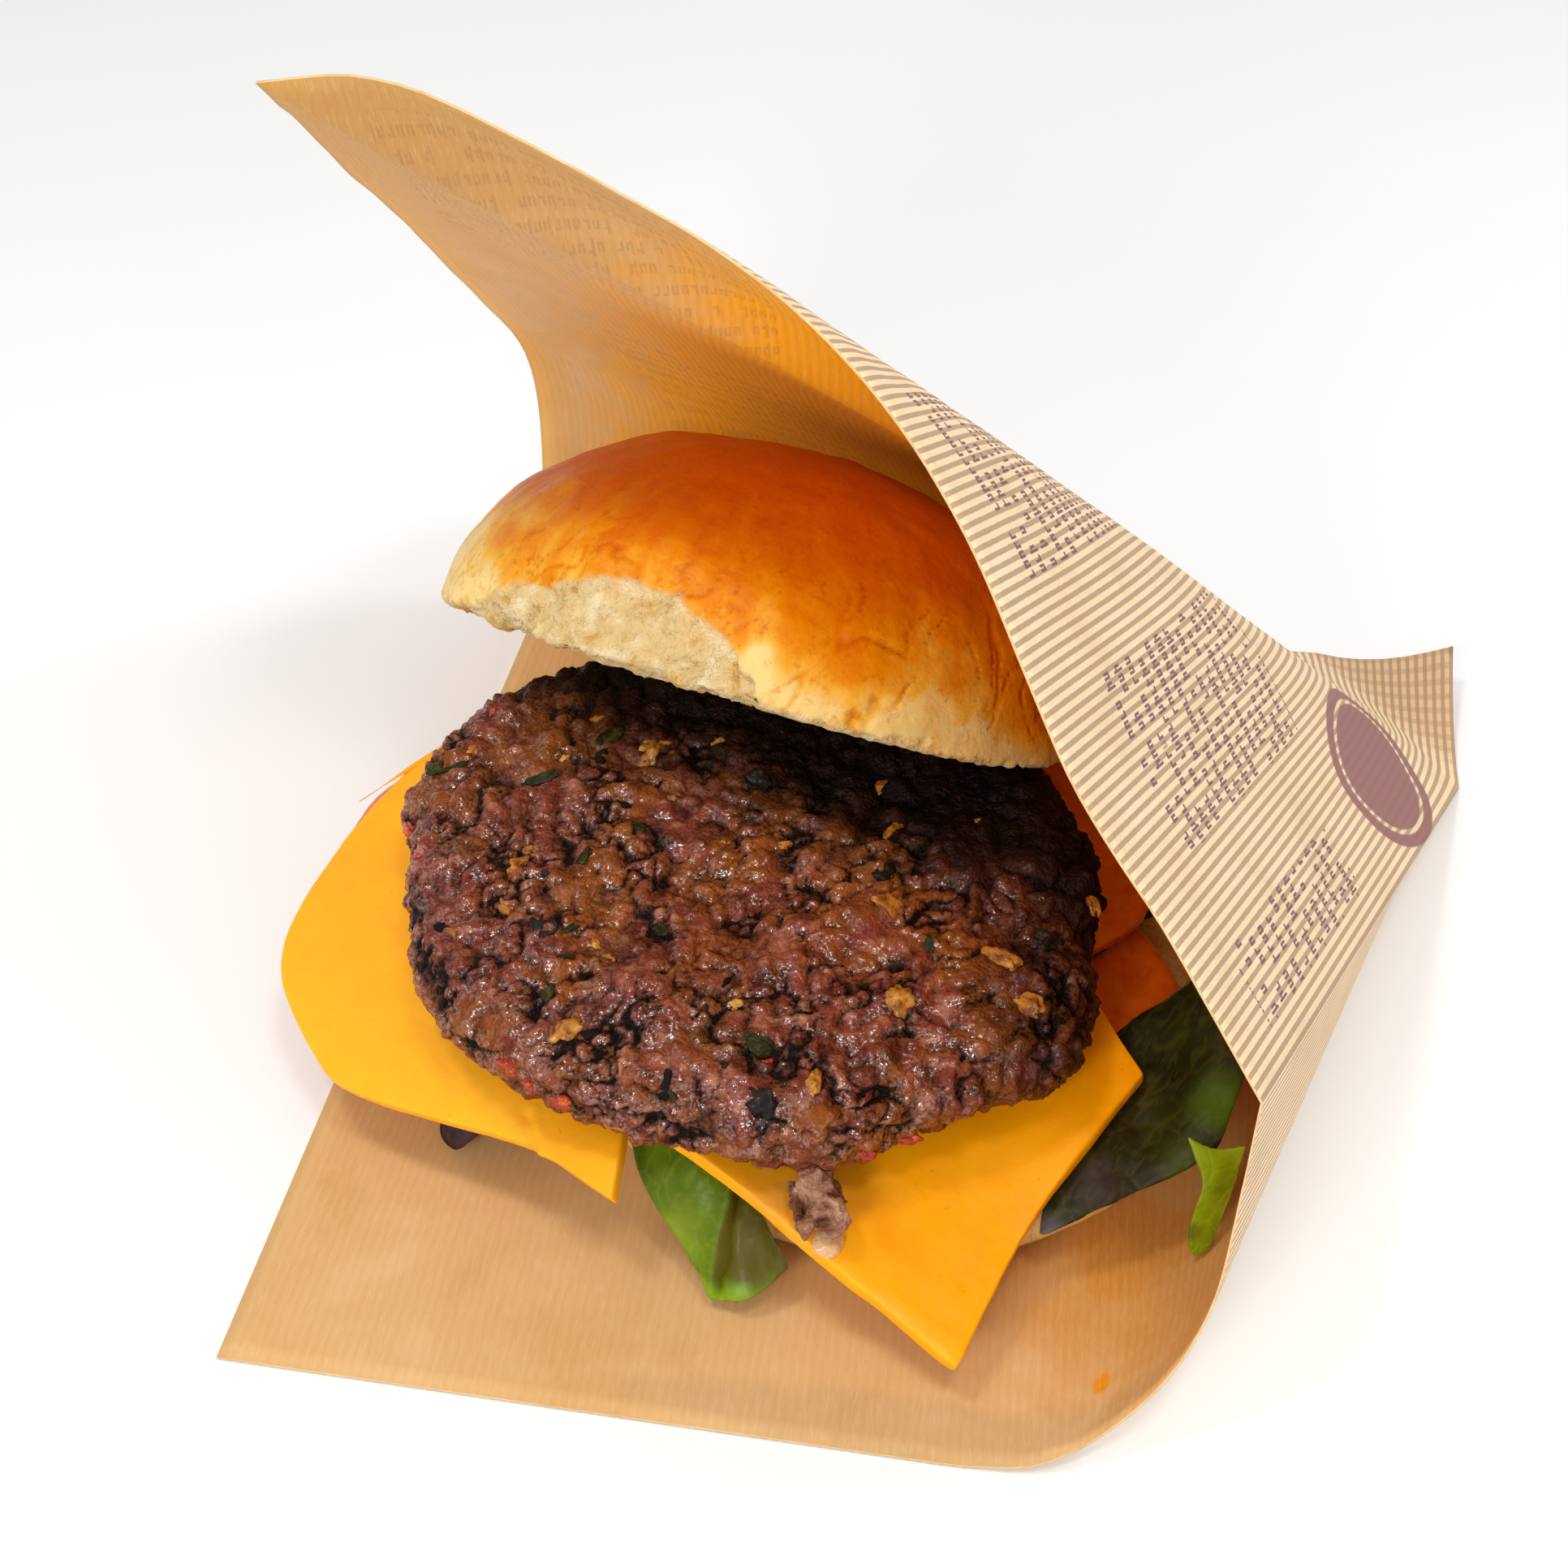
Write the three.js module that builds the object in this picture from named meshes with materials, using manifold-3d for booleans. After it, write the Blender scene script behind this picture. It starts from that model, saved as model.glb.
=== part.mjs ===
// A short rib burger in its open paper bag, in millimetres, +Z up.
// The origin is on the flat underside of the bag, near the middle of the burger, and -Y is the
// side that the bag opens to. The bag's lower ply lies on the table, its upper ply stands over the
// burger as a hood. The bun's crown leans back on the patty, so that the patty shows.
import * as THREE from 'three';
import { mergeVertices } from 'three/addons/utils/BufferGeometryUtils.js';
import Module from 'manifold-3d';

const wasm = await Module();
wasm.setup();

// ---- Driving dimensions ----
const GAP = 0.3; // free space left between pieces that touch
const PAPER = 0.7; // one ply of the bag

const HEEL = { centre: [19, -22], radius: 58, height: 14 };
const PATTY = { centre: [-5.5, -30, 37.5], width: 109, depth: 103, thickness: 16, slope: 0.08 };
const CROWN = { centre: [-5, 16, 46], radius: 55, dome: 39, wall: 1, yaw: 22, lean: 30, roll: 3 };
const TORN = { from: 3.85, span: 1.2, height: 12.3 }; // radians round the crown, and millimetres
// Where the hand-shaped patty leaves an oval: [degrees round it, degrees of spread, share of its radius].
const PATTY_BULGES = [[137, 45, 0.115], [-33, 22, 0.1], [-115, 42, -0.08]];
const CHEESE = 3; // thickness of a slice
const TOMATO = { radius: 29.5, thickness: 4.6 };
const LEAF = 0.9; // thickness of a leaf
const INNER_LEAF = 0.72; // thickness of the leaf that the tomato slices press flat
const CRUMB = { centre: [5, -82, 25.5], radius: 5 }; // the fallen lump of meat

const TURN = Math.PI * 2;
const point = (x, y, z) => new THREE.Vector3(x, y, z);
const clamp = THREE.MathUtils.clamp;
const radians = THREE.MathUtils.degToRad;
const smooth = (x) => THREE.MathUtils.smoothstep(x, 0, 1);
const arch = (x) => Math.sin(Math.PI * clamp(x, 0, 1));

// ---- Unevenness: value noise on a lattice, from about -1 to 1 ----
function lattice(i, j, k) {
	const s = Math.sin(i * 127.1 + j * 311.7 + k * 74.7) * 43758.5453;
	return 2 * (s - Math.floor(s)) - 1;
}

function noise(p, size) {
	const [x, y, z] = [p.x / size, p.y / size, p.z / size];
	const [i, j, k] = [Math.floor(x), Math.floor(y), Math.floor(z)];
	const [u, v, w] = [smooth(x - i), smooth(y - j), smooth(z - k)];
	let sum = 0;
	for (const a of [0, 1]) {
		for (const b of [0, 1]) {
			for (const c of [0, 1]) {
				const weight = (a ? u : 1 - u) * (b ? v : 1 - v) * (c ? w : 1 - w);
				sum += weight * lattice(i + a, j + b, k + c);
			}
		}
	}
	return sum;
}

// ---- Curves and surfaces ----
function spline(...points) {
	return new THREE.CatmullRomCurve3(points.map((p) => point(...p)), false, 'catmullrom', 0.5);
}

/** A smooth surface between four edges: u runs from left to right, v from front to back. */
function patch(front, right, back, left) {
	const corners = [front.getPointAt(0), front.getPointAt(1), back.getPointAt(0), back.getPointAt(1)];
	return (u, v) => {
		const p = front.getPointAt(u).multiplyScalar(1 - v);
		p.addScaledVector(back.getPointAt(u), v);
		p.addScaledVector(left.getPointAt(v), 1 - u);
		p.addScaledVector(right.getPointAt(v), u);
		p.addScaledVector(corners[0], -(1 - u) * (1 - v));
		p.addScaledVector(corners[1], -u * (1 - v));
		p.addScaledVector(corners[2], -(1 - u) * v);
		return p.addScaledVector(corners[3], -u * v);
	};
}

/** How a surface runs at a place, along u and along v. */
function slopesAt(surface, u, v) {
	const step = 0.01;
	const du = surface(Math.min(u + step, 1), v).sub(surface(Math.max(u - step, 0), v));
	const dv = surface(u, Math.min(v + step, 1)).sub(surface(u, Math.max(v - step, 0)));
	return [du, dv];
}

// ---- Closed meshes ----
function meshFrom(points, triangles) {
	const geometry = new THREE.BufferGeometry();
	geometry.setAttribute('position', new THREE.Float32BufferAttribute(points.flatMap((p) => p.toArray()), 3));
	geometry.setIndex(triangles.flat());
	return geometry;
}

/**
 * A slice or leaf: two offset copies of a surface, joined round their edge. With grow above 0 it is
 * that much larger on every side, which is the room that it takes in a neighbour.
 */
function sheet(surface, across, along, thickness, grow) {
	const points = [];
	const off = (i, last) => (i === 0 ? -1 : 0) + (i === last ? 1 : 0);
	for (const side of [1, -1]) {
		for (let j = 0; j <= along; j++) {
			for (let i = 0; i <= across; i++) {
				const [u, v] = [i / across, j / along];
				const [du, dv] = slopesAt(surface, u, v);
				const normal = du.clone().cross(dv).normalize();
				const p = surface(u, v).addScaledVector(normal, side * (thickness / 2 + grow));
				p.addScaledVector(du.normalize(), grow * off(i, across));
				points.push(p.addScaledVector(dv.normalize(), grow * off(j, along)));
			}
		}
	}
	const row = across + 1;
	const under = row * (along + 1);
	const triangles = [];
	const quad = (a, b, c, d) => triangles.push([a, b, c], [a, c, d]);
	for (let j = 0; j < along; j++) {
		for (let i = 0; i < across; i++) {
			const a = j * row + i;
			quad(a, a + 1, a + row + 1, a + row);
			triangles.push([under + a, under + a + row + 1, under + a + 1]);
			triangles.push([under + a, under + a + row, under + a + row + 1]);
		}
	}
	for (let i = 0; i < across; i++) {
		const last = along * row + i;
		quad(under + i, under + i + 1, i + 1, i);
		quad(last, last + 1, under + last + 1, under + last);
	}
	for (let j = 0; j < along; j++) {
		const [first, last] = [j * row, j * row + across];
		quad(first, first + row, under + first + row, under + first);
		quad(under + last, under + last + row, last + row, last);
	}
	return meshFrom(points, triangles);
}

/** A round body turned about Z from a half profile of [radius, height], from the foot upwards. */
function turned(profile, segments) {
	const lathe = new THREE.LatheGeometry(profile.map(([r, h]) => new THREE.Vector2(r, h)), segments);
	lathe.rotateX(Math.PI / 2);
	lathe.deleteAttribute('normal');
	lathe.deleteAttribute('uv');
	return mergeVertices(lathe, 1e-4);
}

/** Moves every vertex of a geometry by a rule. */
function shaped(geometry, rule) {
	const position = geometry.attributes.position;
	const p = new THREE.Vector3();
	for (let i = 0; i < position.count; i++) {
		p.fromBufferAttribute(position, i);
		position.setXYZ(i, ...rule(p.clone()).toArray());
	}
	return geometry;
}

// ---- Cuts: where one piece presses into another ----
function solid(geometry) {
	return new wasm.Manifold(new wasm.Mesh({
		numProp: 3,
		vertProperties: new Float32Array(geometry.attributes.position.array),
		triVerts: new Uint32Array(geometry.index.array),
	}));
}

/** The piece less all the others, with loose scraps dropped. */
function cutBy(geometry, others) {
	let left = solid(geometry);
	for (const other of others) left = left.subtract(solid(other));
	const pieces = left.decompose().sort((a, b) => b.volume() - a.volume());
	const mesh = pieces[0].getMesh();
	const result = new THREE.BufferGeometry();
	const xyz = [];
	for (let i = 0; i < mesh.vertProperties.length; i += mesh.numProp) {
		xyz.push(...mesh.vertProperties.slice(i, i + 3));
	}
	result.setAttribute('position', new THREE.Float32BufferAttribute(xyz, 3));
	result.setIndex([...mesh.triVerts]);
	return result;
}

// ---- The bag: two plies from a closed corner to a wide mouth ----
// The plies lie flat together at the closed corner, which curls up as a tab. From the valley
// behind the tab, straight generators run out to the mouth's rim: along the front edge to the
// free corner of each ply, and back along its left edge to the far end of the back fold.
const TAB_CORNER = point(133, 72, 10);
const VALLEY = [point(129, 40, 0), point(109, 83, 0)];
const CREASE_END = [62, -98, 63];
const FOLD_END = [-50.6, 105.6, 0];
const LOWER_CORNER = [-84.3, -91.5, 0];
const UPPER_CORNER = [-69, -10, 163];
const ROLL_START = [25, -110.2, 0];
const HOOD_BULGE = 2;

function lowerRim() {
	const front = new THREE.CurvePath();
	front.add(spline(CREASE_END, [61.8, -97.5, 44], [59.5, -102, 27], [54.5, -105, 14.5],
		[46, -108.5, 6], [36, -111, 1.3], ROLL_START));
	front.add(new THREE.LineCurve3(point(...ROLL_START), point(...LOWER_CORNER)));
	return [front, spline(LOWER_CORNER, FOLD_END)];
}

function upperRim() {
	const front = spline(CREASE_END, [50, -85, 80], [37, -73, 97], [17, -50, 132], [-5, -34, 149],
		[-38, -17, 161], [-54, -12.5, 165], UPPER_CORNER);
	const left = spline(UPPER_CORNER, [-70, 30, 136], [-64, 60, 108], [-57, 90, 78], [-49, 101, 54],
		FOLD_END);
	return [front, left];
}

/** A ply: w runs round the rim from the crease to the back fold, t from the valley to the rim. */
function ply([front, left], bulge) {
	return (w, t) => {
		const rim = w < 0.5 ? front.getPointAt(2 * w) : left.getPointAt(2 * w - 1);
		const root = VALLEY[0].clone().lerp(VALLEY[1], w);
		const p = root.lerp(rim, t);
		p.z += PAPER + bulge * arch(t) * arch(w) ** 2;
		return p;
	};
}

function paperBag() {
	const [steps, rows, tabRows] = [32, 9, 3];
	const lower = ply(lowerRim(), 0);
	const upper = ply(upperRim(), HOOD_BULGE);
	// One ring of places round the pocket: [ply, w], lower ply out, upper ply back.
	const ring = [];
	for (let i = 0; i <= steps; i++) ring.push([lower, i / steps]);
	for (let i = steps - 1; i > 0; i--) ring.push([upper, i / steps]);
	const around = ring.length;

	const outward = (surface, w, t) => {
		const [dw, dt] = slopesAt(surface, w, t);
		return dw.cross(dt).normalize().multiplyScalar(surface === upper ? 1 : -1);
	};
	const normal = (surface, w, t) => {
		if (w > 0 && w < 1) return outward(surface, w, t);
		return outward(lower, w, t).add(outward(upper, w, t)).normalize();
	};
	const points = [];
	const inner = [];
	const outer = [];
	for (let j = 0; j <= rows; j++) {
		inner.push([]);
		outer.push([]);
		ring.forEach(([surface, w], i) => {
			const p = surface(w, j / rows);
			const t = Math.max(j / rows, 0.02);
			// The plies meet along the valley, so their inner faces share its points.
			const shared = j === 0 && i > steps;
			inner[j].push(shared ? inner[0][around - i] : points.push(p) - 1);
			outer[j].push(points.push(p.clone().addScaledVector(normal(surface, w, t), PAPER)) - 1);
		});
	}
	// The tab: both plies together, from the valley up to the closed corner.
	const tab = [];
	for (let j = 1; j < tabRows; j++) {
		const reach = j / tabRows;
		tab.unshift(outer[0].map((index) => {
			const p = points[index].clone();
			const rise = TAB_CORNER.z * reach ** 2;
			const plan = p.lerp(point(TAB_CORNER.x, TAB_CORNER.y, p.z), reach);
			return points.push(plan.setZ(plan.z + rise)) - 1;
		}));
	}
	const tip = points.push(TAB_CORNER.clone().setZ(TAB_CORNER.z + PAPER)) - 1;

	const triangles = [];
	const band = (from, to) => {
		for (let i = 0; i < around; i++) {
			const n = (i + 1) % around;
			for (const face of [[from[i], from[n], to[n]], [from[i], to[n], to[i]]]) {
				if (new Set(face).size === 3) triangles.push(face);
			}
		}
	};
	const skin = [...tab, ...outer];
	for (let i = 0; i < around; i++) triangles.push([tip, skin[0][i], skin[0][(i + 1) % around]]);
	for (let j = 0; j + 1 < skin.length; j++) band(skin[j + 1], skin[j]);
	band(inner[rows], outer[rows]);
	for (let j = 0; j < rows; j++) band(inner[j], inner[j + 1]);
	return meshFrom(points, triangles);
}

// ---- The bun ----
function bunHeel() {
	const { centre, radius, height } = HEEL;
	const profile = [[0, 0], [0.45 * radius, 0], [0.86 * radius, 0], [0.95 * radius, 1.2], [0.99 * radius, 4],
		[radius, 7], [0.99 * radius, 10.5], [0.965 * radius, height - 0.8], [0.93 * radius, height],
		[0.5 * radius, height], [0, height]];
	const heel = shaped(turned(profile, 44), (p) => {
		const side = smooth((Math.hypot(p.x, p.y) / radius - 0.7) / 0.3);
		const swell = 1 + 0.02 * side * noise(p, 24);
		return p.set(p.x * swell, p.y * swell, p.z + 0.5 * side * noise(p, 9) * smooth((p.z - 2) / 6));
	});
	return heel.translate(centre[0], centre[1], PAPER + GAP);
}

/** Where the crust is torn away: a band of bare crumb low on the crown's front left. */
function tornBand(angle, height) {
	const along = (angle - TORN.from) / TORN.span;
	if (along <= 0 || along >= 1) return 0;
	// The band is tallest at two thirds of its length.
	const top = 1 + TORN.height * arch(along ** 1.76) ** 0.7 + 0.6 * Math.sin(14 * angle);
	return 1 - smooth((height - top) / 2 + 0.5);
}

function bunCrown() {
	const { centre, radius, dome, wall, yaw, lean, roll } = CROWN;
	const profile = [[0, 1.5], [0.35 * radius, 1], [0.7 * radius, 0.4], [0.9 * radius, 0],
		[0.985 * radius, 0.3], [radius, 0.45 * wall]];
	const steps = 10;
	for (let i = 0; i < steps; i++) {
		const a = (i / steps) * Math.PI / 2;
		profile.push([radius * Math.cos(a), wall + (dome - wall) * Math.sin(a)]);
	}
	profile.push([0, dome]);
	const crown = shaped(turned(profile, 54), (p) => {
		const reach = Math.hypot(p.x, p.y) / radius;
		const angle = (Math.atan2(p.y, p.x) + TURN) % TURN;
		const torn = tornBand(angle, p.z) * smooth((reach - 0.75) / 0.2);
		const swell = 1 + 0.018 * noise(p, 30) * reach - 0.055 * torn * (1 + 0.4 * noise(p, 5));
		const bend = 5 * (1 - (p.x / radius) ** 2) * reach * reach * (p.y < 0 ? 1 : 0.2);
		const dent = 0.7 * noise(p, 16) * smooth(p.z / 8);
		return p.set(p.x * swell, p.y * swell, p.z + bend + dent + 0.5 * torn * noise(p, 4));
	});
	crown.rotateY(radians(roll)).rotateX(-radians(lean)).rotateZ(-radians(yaw));
	return crown.translate(...centre);
}

// ---- The patty ----
function bulge(ring) {
	let sum = 0;
	for (const [centre, spread, share] of PATTY_BULGES) {
		const away = ring.angleTo(point(1, 0, 0).applyAxisAngle(point(0, 0, 1), radians(centre)));
		sum += share * smooth(1.4 - 1.4 * away / radians(spread));
	}
	return sum;
}

function patty(clearance = 0) {
	const { centre, width, depth, thickness, slope } = PATTY;
	const half = thickness / 2;
	const profile = [];
	const flat = 0.84; // share of the radius where the rounded edge begins
	for (const reach of [0, 0.2, 0.4, 0.56, 0.7]) profile.push([reach, -half]);
	const sides = 9;
	for (let i = 0; i <= sides; i++) {
		const a = (i / sides - 0.5) * Math.PI;
		profile.push([flat + (1 - flat) * Math.cos(a) ** 0.8, half * Math.sin(a)]);
	}
	for (const reach of [0.78, 0.71, 0.64, 0.57, 0.5, 0.43, 0.36, 0.29, 0.22, 0.14, 0.07, 0]) {
		profile.push([reach, half + 1.2 * (1 - reach * reach)]);
	}
	const meat = shaped(turned(profile, 78), (p) => {
		const reach = Math.hypot(p.x, p.y);
		const ring = point(p.x, p.y, 0).multiplyScalar(1 / Math.max(reach, 0.01));
		const place = point(p.x * width / 2, p.y * depth / 2, p.z);
		const edge = smooth((reach - 0.55) / 0.4);
		const ragged = 0.015 * noise(ring, 0.55) + 0.03 * noise(place, 11) + 0.022 * noise(place, 5);
		const outline = 1 + edge * (bulge(ring) + ragged);
		const crag = (1.3 * noise(place, 14) + 1.3 * noise(place, 7.5)) * (p.z > 0 ? 1 : 0.3);
		const grow = 1 + clearance / (width / 2);
		place.set(place.x * outline * grow, place.y * outline * grow, p.z + crag + Math.sign(p.z) * clearance);
		place.z += slope * place.y;
		return place;
	});
	return meat.translate(...centre);
}

// ---- The two cheese slices, draped ----
function cheeseLeft(grow = 0) {
	const surface = patch(
		spline([-72, -49, 14], [-64, -54, 15], [-53, -59.5, 16.5], [-38, -67, 18.5], [-25, -78, 19.5]),
		spline([-25, -78, 19.5], [-23.5, -67, 23.5], [-21, -40, 26.3], [-20, 0, 29.3], [-20, 26, 31.5]),
		spline([-59, 17, 30.5], [-47, 26, 32], [-34, 31, 32.5], [-20, 26, 31.5]),
		spline([-72, -49, 14], [-82.5, -28, 18.5], [-77, -8, 23.5], [-69, 6, 27], [-59, 17, 30.5]),
	);
	return sheet(surface, 10, 12, CHEESE, grow);
}

function cheeseRight(grow = 0) {
	const surface = patch(
		spline([-17, -70, 24], [-9, -76, 22.5], [7, -87.5, 16], [24.6, -99.5, 8.5]),
		spline([24.6, -99.5, 8.5], [36, -80, 14.5], [47, -66, 20.5], [55.5, -56.5, 23.5]),
		spline([-8, -6, 28.6], [18, -14, 28], [42, -30, 27], [55.5, -56.5, 23.5]),
		spline([-17, -70, 24], [-16, -50, 25.7], [-12, -28, 27.2], [-8, -6, 28.6]),
	);
	return sheet(surface, 10, 9, CHEESE, grow);
}

// ---- The salad ----
function rippled(surface, height, waves) {
	return (u, v) => {
		const p = surface(u, v);
		p.z += height * arch(v) * smooth(2 * u) * Math.sin(waves * Math.PI * u);
		return p;
	};
}

function leafFront(grow = 0) {
	const surface = patch(
		spline([-11, -83, 3.2], [-5, -84.5, 4], [1.8, -81, 8]),
		spline([1.8, -81, 8], [-3, -74, 13], [-8, -66, 17], [-9, -56, 19]),
		spline([-26.5, -54, 20], [-18, -54, 20.5], [-9, -56, 19]),
		spline([-11, -83, 3.2], [-15, -77, 7], [-21, -69.5, 12.2], [-26.5, -54, 20]),
	);
	return sheet(rippled(surface, 3, 1), 8, 9, LEAF, grow);
}

function leafRightDark(grow = 0) {
	const surface = patch(
		spline([37.8, -78, 11], [46, -76, 14.8], [56, -73, 18], [65, -70, 22.5]),
		spline([65, -70, 22.5], [71, -56, 29], [72, -38, 35]),
		spline([42, -50, 16.6], [56, -43, 23], [72, -38, 35]),
		spline([37.8, -78, 11], [40, -69, 15.2], [42, -50, 16.6]),
	);
	return sheet(rippled(surface, 1.2, 3), 9, 8, LEAF, grow);
}

function leafRightLight(grow = 0) {
	const surface = patch(
		spline([61.3, -78, 8.3], [62.6, -78, 7.6], [64, -77, 9]),
		spline([64, -77, 9], [66.5, -74.8, 15], [69, -71.5, 25.5]),
		spline([59.3, -71, 27], [63.5, -72.3, 25.4], [69, -71.5, 25.5]),
		spline([61.3, -78, 8.3], [60.6, -76.5, 14.5], [62.3, -74.5, 21], [59.3, -71, 27]),
	);
	return sheet(rippled(surface, 0.6, 2), 6, 7, LEAF, grow);
}

/** A small leaf pressed between the two right tomato slices. */
function leafRightInner(grow = 0) {
	const surface = patch(
		spline([47.5, -30, 21.3], [52.3, -27, 21.4], [55, -23.4, 21.4], [58.4, -20.2, 21.5], [62.8, -18, 22]),
		spline([62.8, -18, 22], [62.5, -13, 21.8], [60, -8, 21.4]),
		spline([46, -16, 21.3], [53, -11, 21.3], [60, -8, 21.4]),
		spline([47.5, -30, 21.3], [46, -23, 21.3], [46, -16, 21.3]),
	);
	return sheet(rippled(surface, 0.25, 2), 7, 5, INNER_LEAF, grow);
}

function leafLeftTip(grow = 0) {
	const surface = patch(
		spline([-52.5, -53.5, 2.6], [-56, -49.5, 2.3], [-55, -42, 4.5]),
		spline([-55, -42, 4.5], [-48, -36, 12], [-38, -32, 16.5]),
		spline([-34, -52, 16.8], [-36, -43, 17.2], [-38, -32, 16.5]),
		spline([-52.5, -53.5, 2.6], [-45, -54, 11.5], [-34, -52, 16.8]),
	);
	return sheet(surface, 5, 5, LEAF, grow);
}

/** A tomato slice with a rounded skin edge, lying level or tipped about X and Y by two slopes. */
function tomato(x, y, z, slopes = [0, 0], clearance = 0) {
	const { radius, thickness } = TOMATO;
	const half = thickness / 2 + clearance;
	const r = radius + clearance;
	const profile = [[0, -half], [0.5 * r, -half], [r - 1.6, -half], [r - 0.5, -half * 0.6], [r, 0],
		[r - 0.5, half * 0.6], [r - 1.6, half], [0.5 * r, half], [0, half]];
	const slice = shaped(turned(profile, 28), (p) => {
		const swell = 1 + 0.02 * Math.sin(3 * Math.atan2(p.y, p.x) + x);
		return p.set(p.x * swell, p.y * swell, p.z + slopes[0] * p.x + slopes[1] * p.y);
	});
	return slice.translate(x, y, z);
}

/** A lump of minced meat that has fallen on the cheese. */
function meatCrumb() {
	const lump = new THREE.SphereGeometry(CRUMB.radius, 12, 8);
	lump.deleteAttribute('normal');
	lump.deleteAttribute('uv');
	const crumb = shaped(mergeVertices(lump, 1e-4), (p) => {
		const grow = 1 + 0.28 * noise(p, 3.4);
		return p.set(p.x * grow * 0.95, p.y * grow * 1.15, p.z * grow * 0.7);
	});
	return crumb.translate(...CRUMB.centre);
}

// ---- The burger in its bag ----
const TOMATOES = {
	left: [-45, -3, 22, [-0.02, 0.03]],
	rightBack: [35, -4, 23.4],
	rightFront: [36, -36, 18.2],
};
const backSlice = tomato(...TOMATOES.rightBack, [0, 0], GAP);
const [onLeft, onRight, meat] = [cheeseLeft(GAP), cheeseRight(GAP), patty(GAP)];
const [darkLeaf, innerLeaf] = [leafRightDark(GAP), leafRightInner(GAP)];
const heelCuts = [onRight, darkLeaf, leafLeftTip(GAP), leafFront(GAP), leafRightLight(GAP)];
const CRUMB_COLOR = '#e6c58f';
const CHEESE_COLOR = '#f7a21b';
const TOMATO_COLOR = '#c8431c';
const DARK_LEAF_COLOR = '#26331c';
// Each piece: its solid, its colour and its roughness.
const pieces = {
	paper_bag: [paperBag(), '#c99f68', 0.75],
	bun_heel: [cutBy(bunHeel(), heelCuts), CRUMB_COLOR, 0.7],
	bun_crown: [cutBy(bunCrown(), [meat, onLeft]), '#c46a1e', 0.45],
	patty: [cutBy(patty(), [onLeft, onRight]), '#4a2418', 0.35],
	cheese_left: [cheeseLeft(), CHEESE_COLOR, 0.4],
	cheese_right: [cheeseRight(), CHEESE_COLOR, 0.4],
	lettuce_front: [leafFront(), '#4f8a2b', 0.4],
	lettuce_right_dark: [leafRightDark(), DARK_LEAF_COLOR, 0.35],
	lettuce_right_light: [leafRightLight(), '#7f9c26', 0.45],
	lettuce_right_inner: [cutBy(leafRightInner(), [onRight]), DARK_LEAF_COLOR, 0.35],
	lettuce_left_tip: [leafLeftTip(), '#33212a', 0.45],
	tomato_left: [cutBy(tomato(...TOMATOES.left), [onLeft, leafLeftTip(GAP)]), TOMATO_COLOR, 0.35],
	tomato_right_back: [cutBy(tomato(...TOMATOES.rightBack), [onRight, darkLeaf, innerLeaf]),
		TOMATO_COLOR, 0.35],
	tomato_right_front: [cutBy(tomato(...TOMATOES.rightFront), [onRight, darkLeaf, innerLeaf, backSlice]),
		TOMATO_COLOR, 0.35],
	meat_crumb: [cutBy(meatCrumb(), [onRight, meat]), '#7d5a48', 0.5],
};

const burger = new THREE.Group();
for (const [name, [geometry, color, roughness]] of Object.entries(pieces)) {
	const material = new THREE.MeshStandardMaterial({ color, roughness, metalness: 0 });
	const mesh = new THREE.Mesh(geometry, material);
	mesh.name = name;
	burger.add(mesh);
}

export default burger;
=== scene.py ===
# %% [markdown]
# # A short rib burger in its open paper bag
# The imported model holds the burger's solids at their real size. This script loads them as a fixed
# frame and dresses them: the bag becomes a thin printed sheet, the food gets a baked, minced or
# melted surface, and small bits are scattered where the real one has them.

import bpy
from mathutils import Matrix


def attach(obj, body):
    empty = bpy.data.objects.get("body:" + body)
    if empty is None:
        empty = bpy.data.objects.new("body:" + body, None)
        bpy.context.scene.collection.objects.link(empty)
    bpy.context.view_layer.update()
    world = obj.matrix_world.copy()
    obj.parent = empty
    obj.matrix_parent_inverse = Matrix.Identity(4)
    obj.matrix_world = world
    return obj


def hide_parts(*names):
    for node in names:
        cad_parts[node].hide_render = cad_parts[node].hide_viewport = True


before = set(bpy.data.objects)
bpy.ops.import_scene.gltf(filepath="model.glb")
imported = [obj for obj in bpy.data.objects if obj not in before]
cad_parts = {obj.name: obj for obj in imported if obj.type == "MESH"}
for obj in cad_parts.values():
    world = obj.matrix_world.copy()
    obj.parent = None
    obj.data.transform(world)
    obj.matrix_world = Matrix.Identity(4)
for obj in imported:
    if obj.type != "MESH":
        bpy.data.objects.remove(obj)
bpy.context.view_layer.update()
print("nodes:", ", ".join(sorted(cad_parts)))

# %% Python and Blender modules
import math
import random

import bmesh
import bpy
from mathutils import Matrix, Vector, noise
from mathutils.bvhtree import BVHTree

MM = 0.001
scene = bpy.context.scene

# %% [markdown]
# ## Camera
# The photograph looks down on the burger from the front at 40 degrees, from 40 cm away. The lens
# follows from the size of the burger in the frame. The image is taken as a square of 1932 pixels.

# %% Camera
FRAME_PIXELS = 1932
SENSOR = 36.0
FOCAL_PIXELS = 2920
AIM = Vector((0, 0, 35)) * MM
ELEVATION = math.radians(40)
DISTANCE = 400 * MM

to_camera = Vector((0, -math.cos(ELEVATION), math.sin(ELEVATION)))
camera_data = bpy.data.cameras.new("camera")
camera_data.sensor_width = SENSOR
camera_data.lens = FOCAL_PIXELS / FRAME_PIXELS * SENSOR
camera_data.clip_start = 0.01
camera = bpy.data.objects.new("camera", camera_data)
camera.location = AIM + to_camera * DISTANCE
camera.rotation_euler = to_camera.to_track_quat("Z", "Y").to_euler()
scene.collection.objects.link(camera)
scene.camera = camera
print("lens in mm:", round(camera_data.lens, 1))

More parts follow.
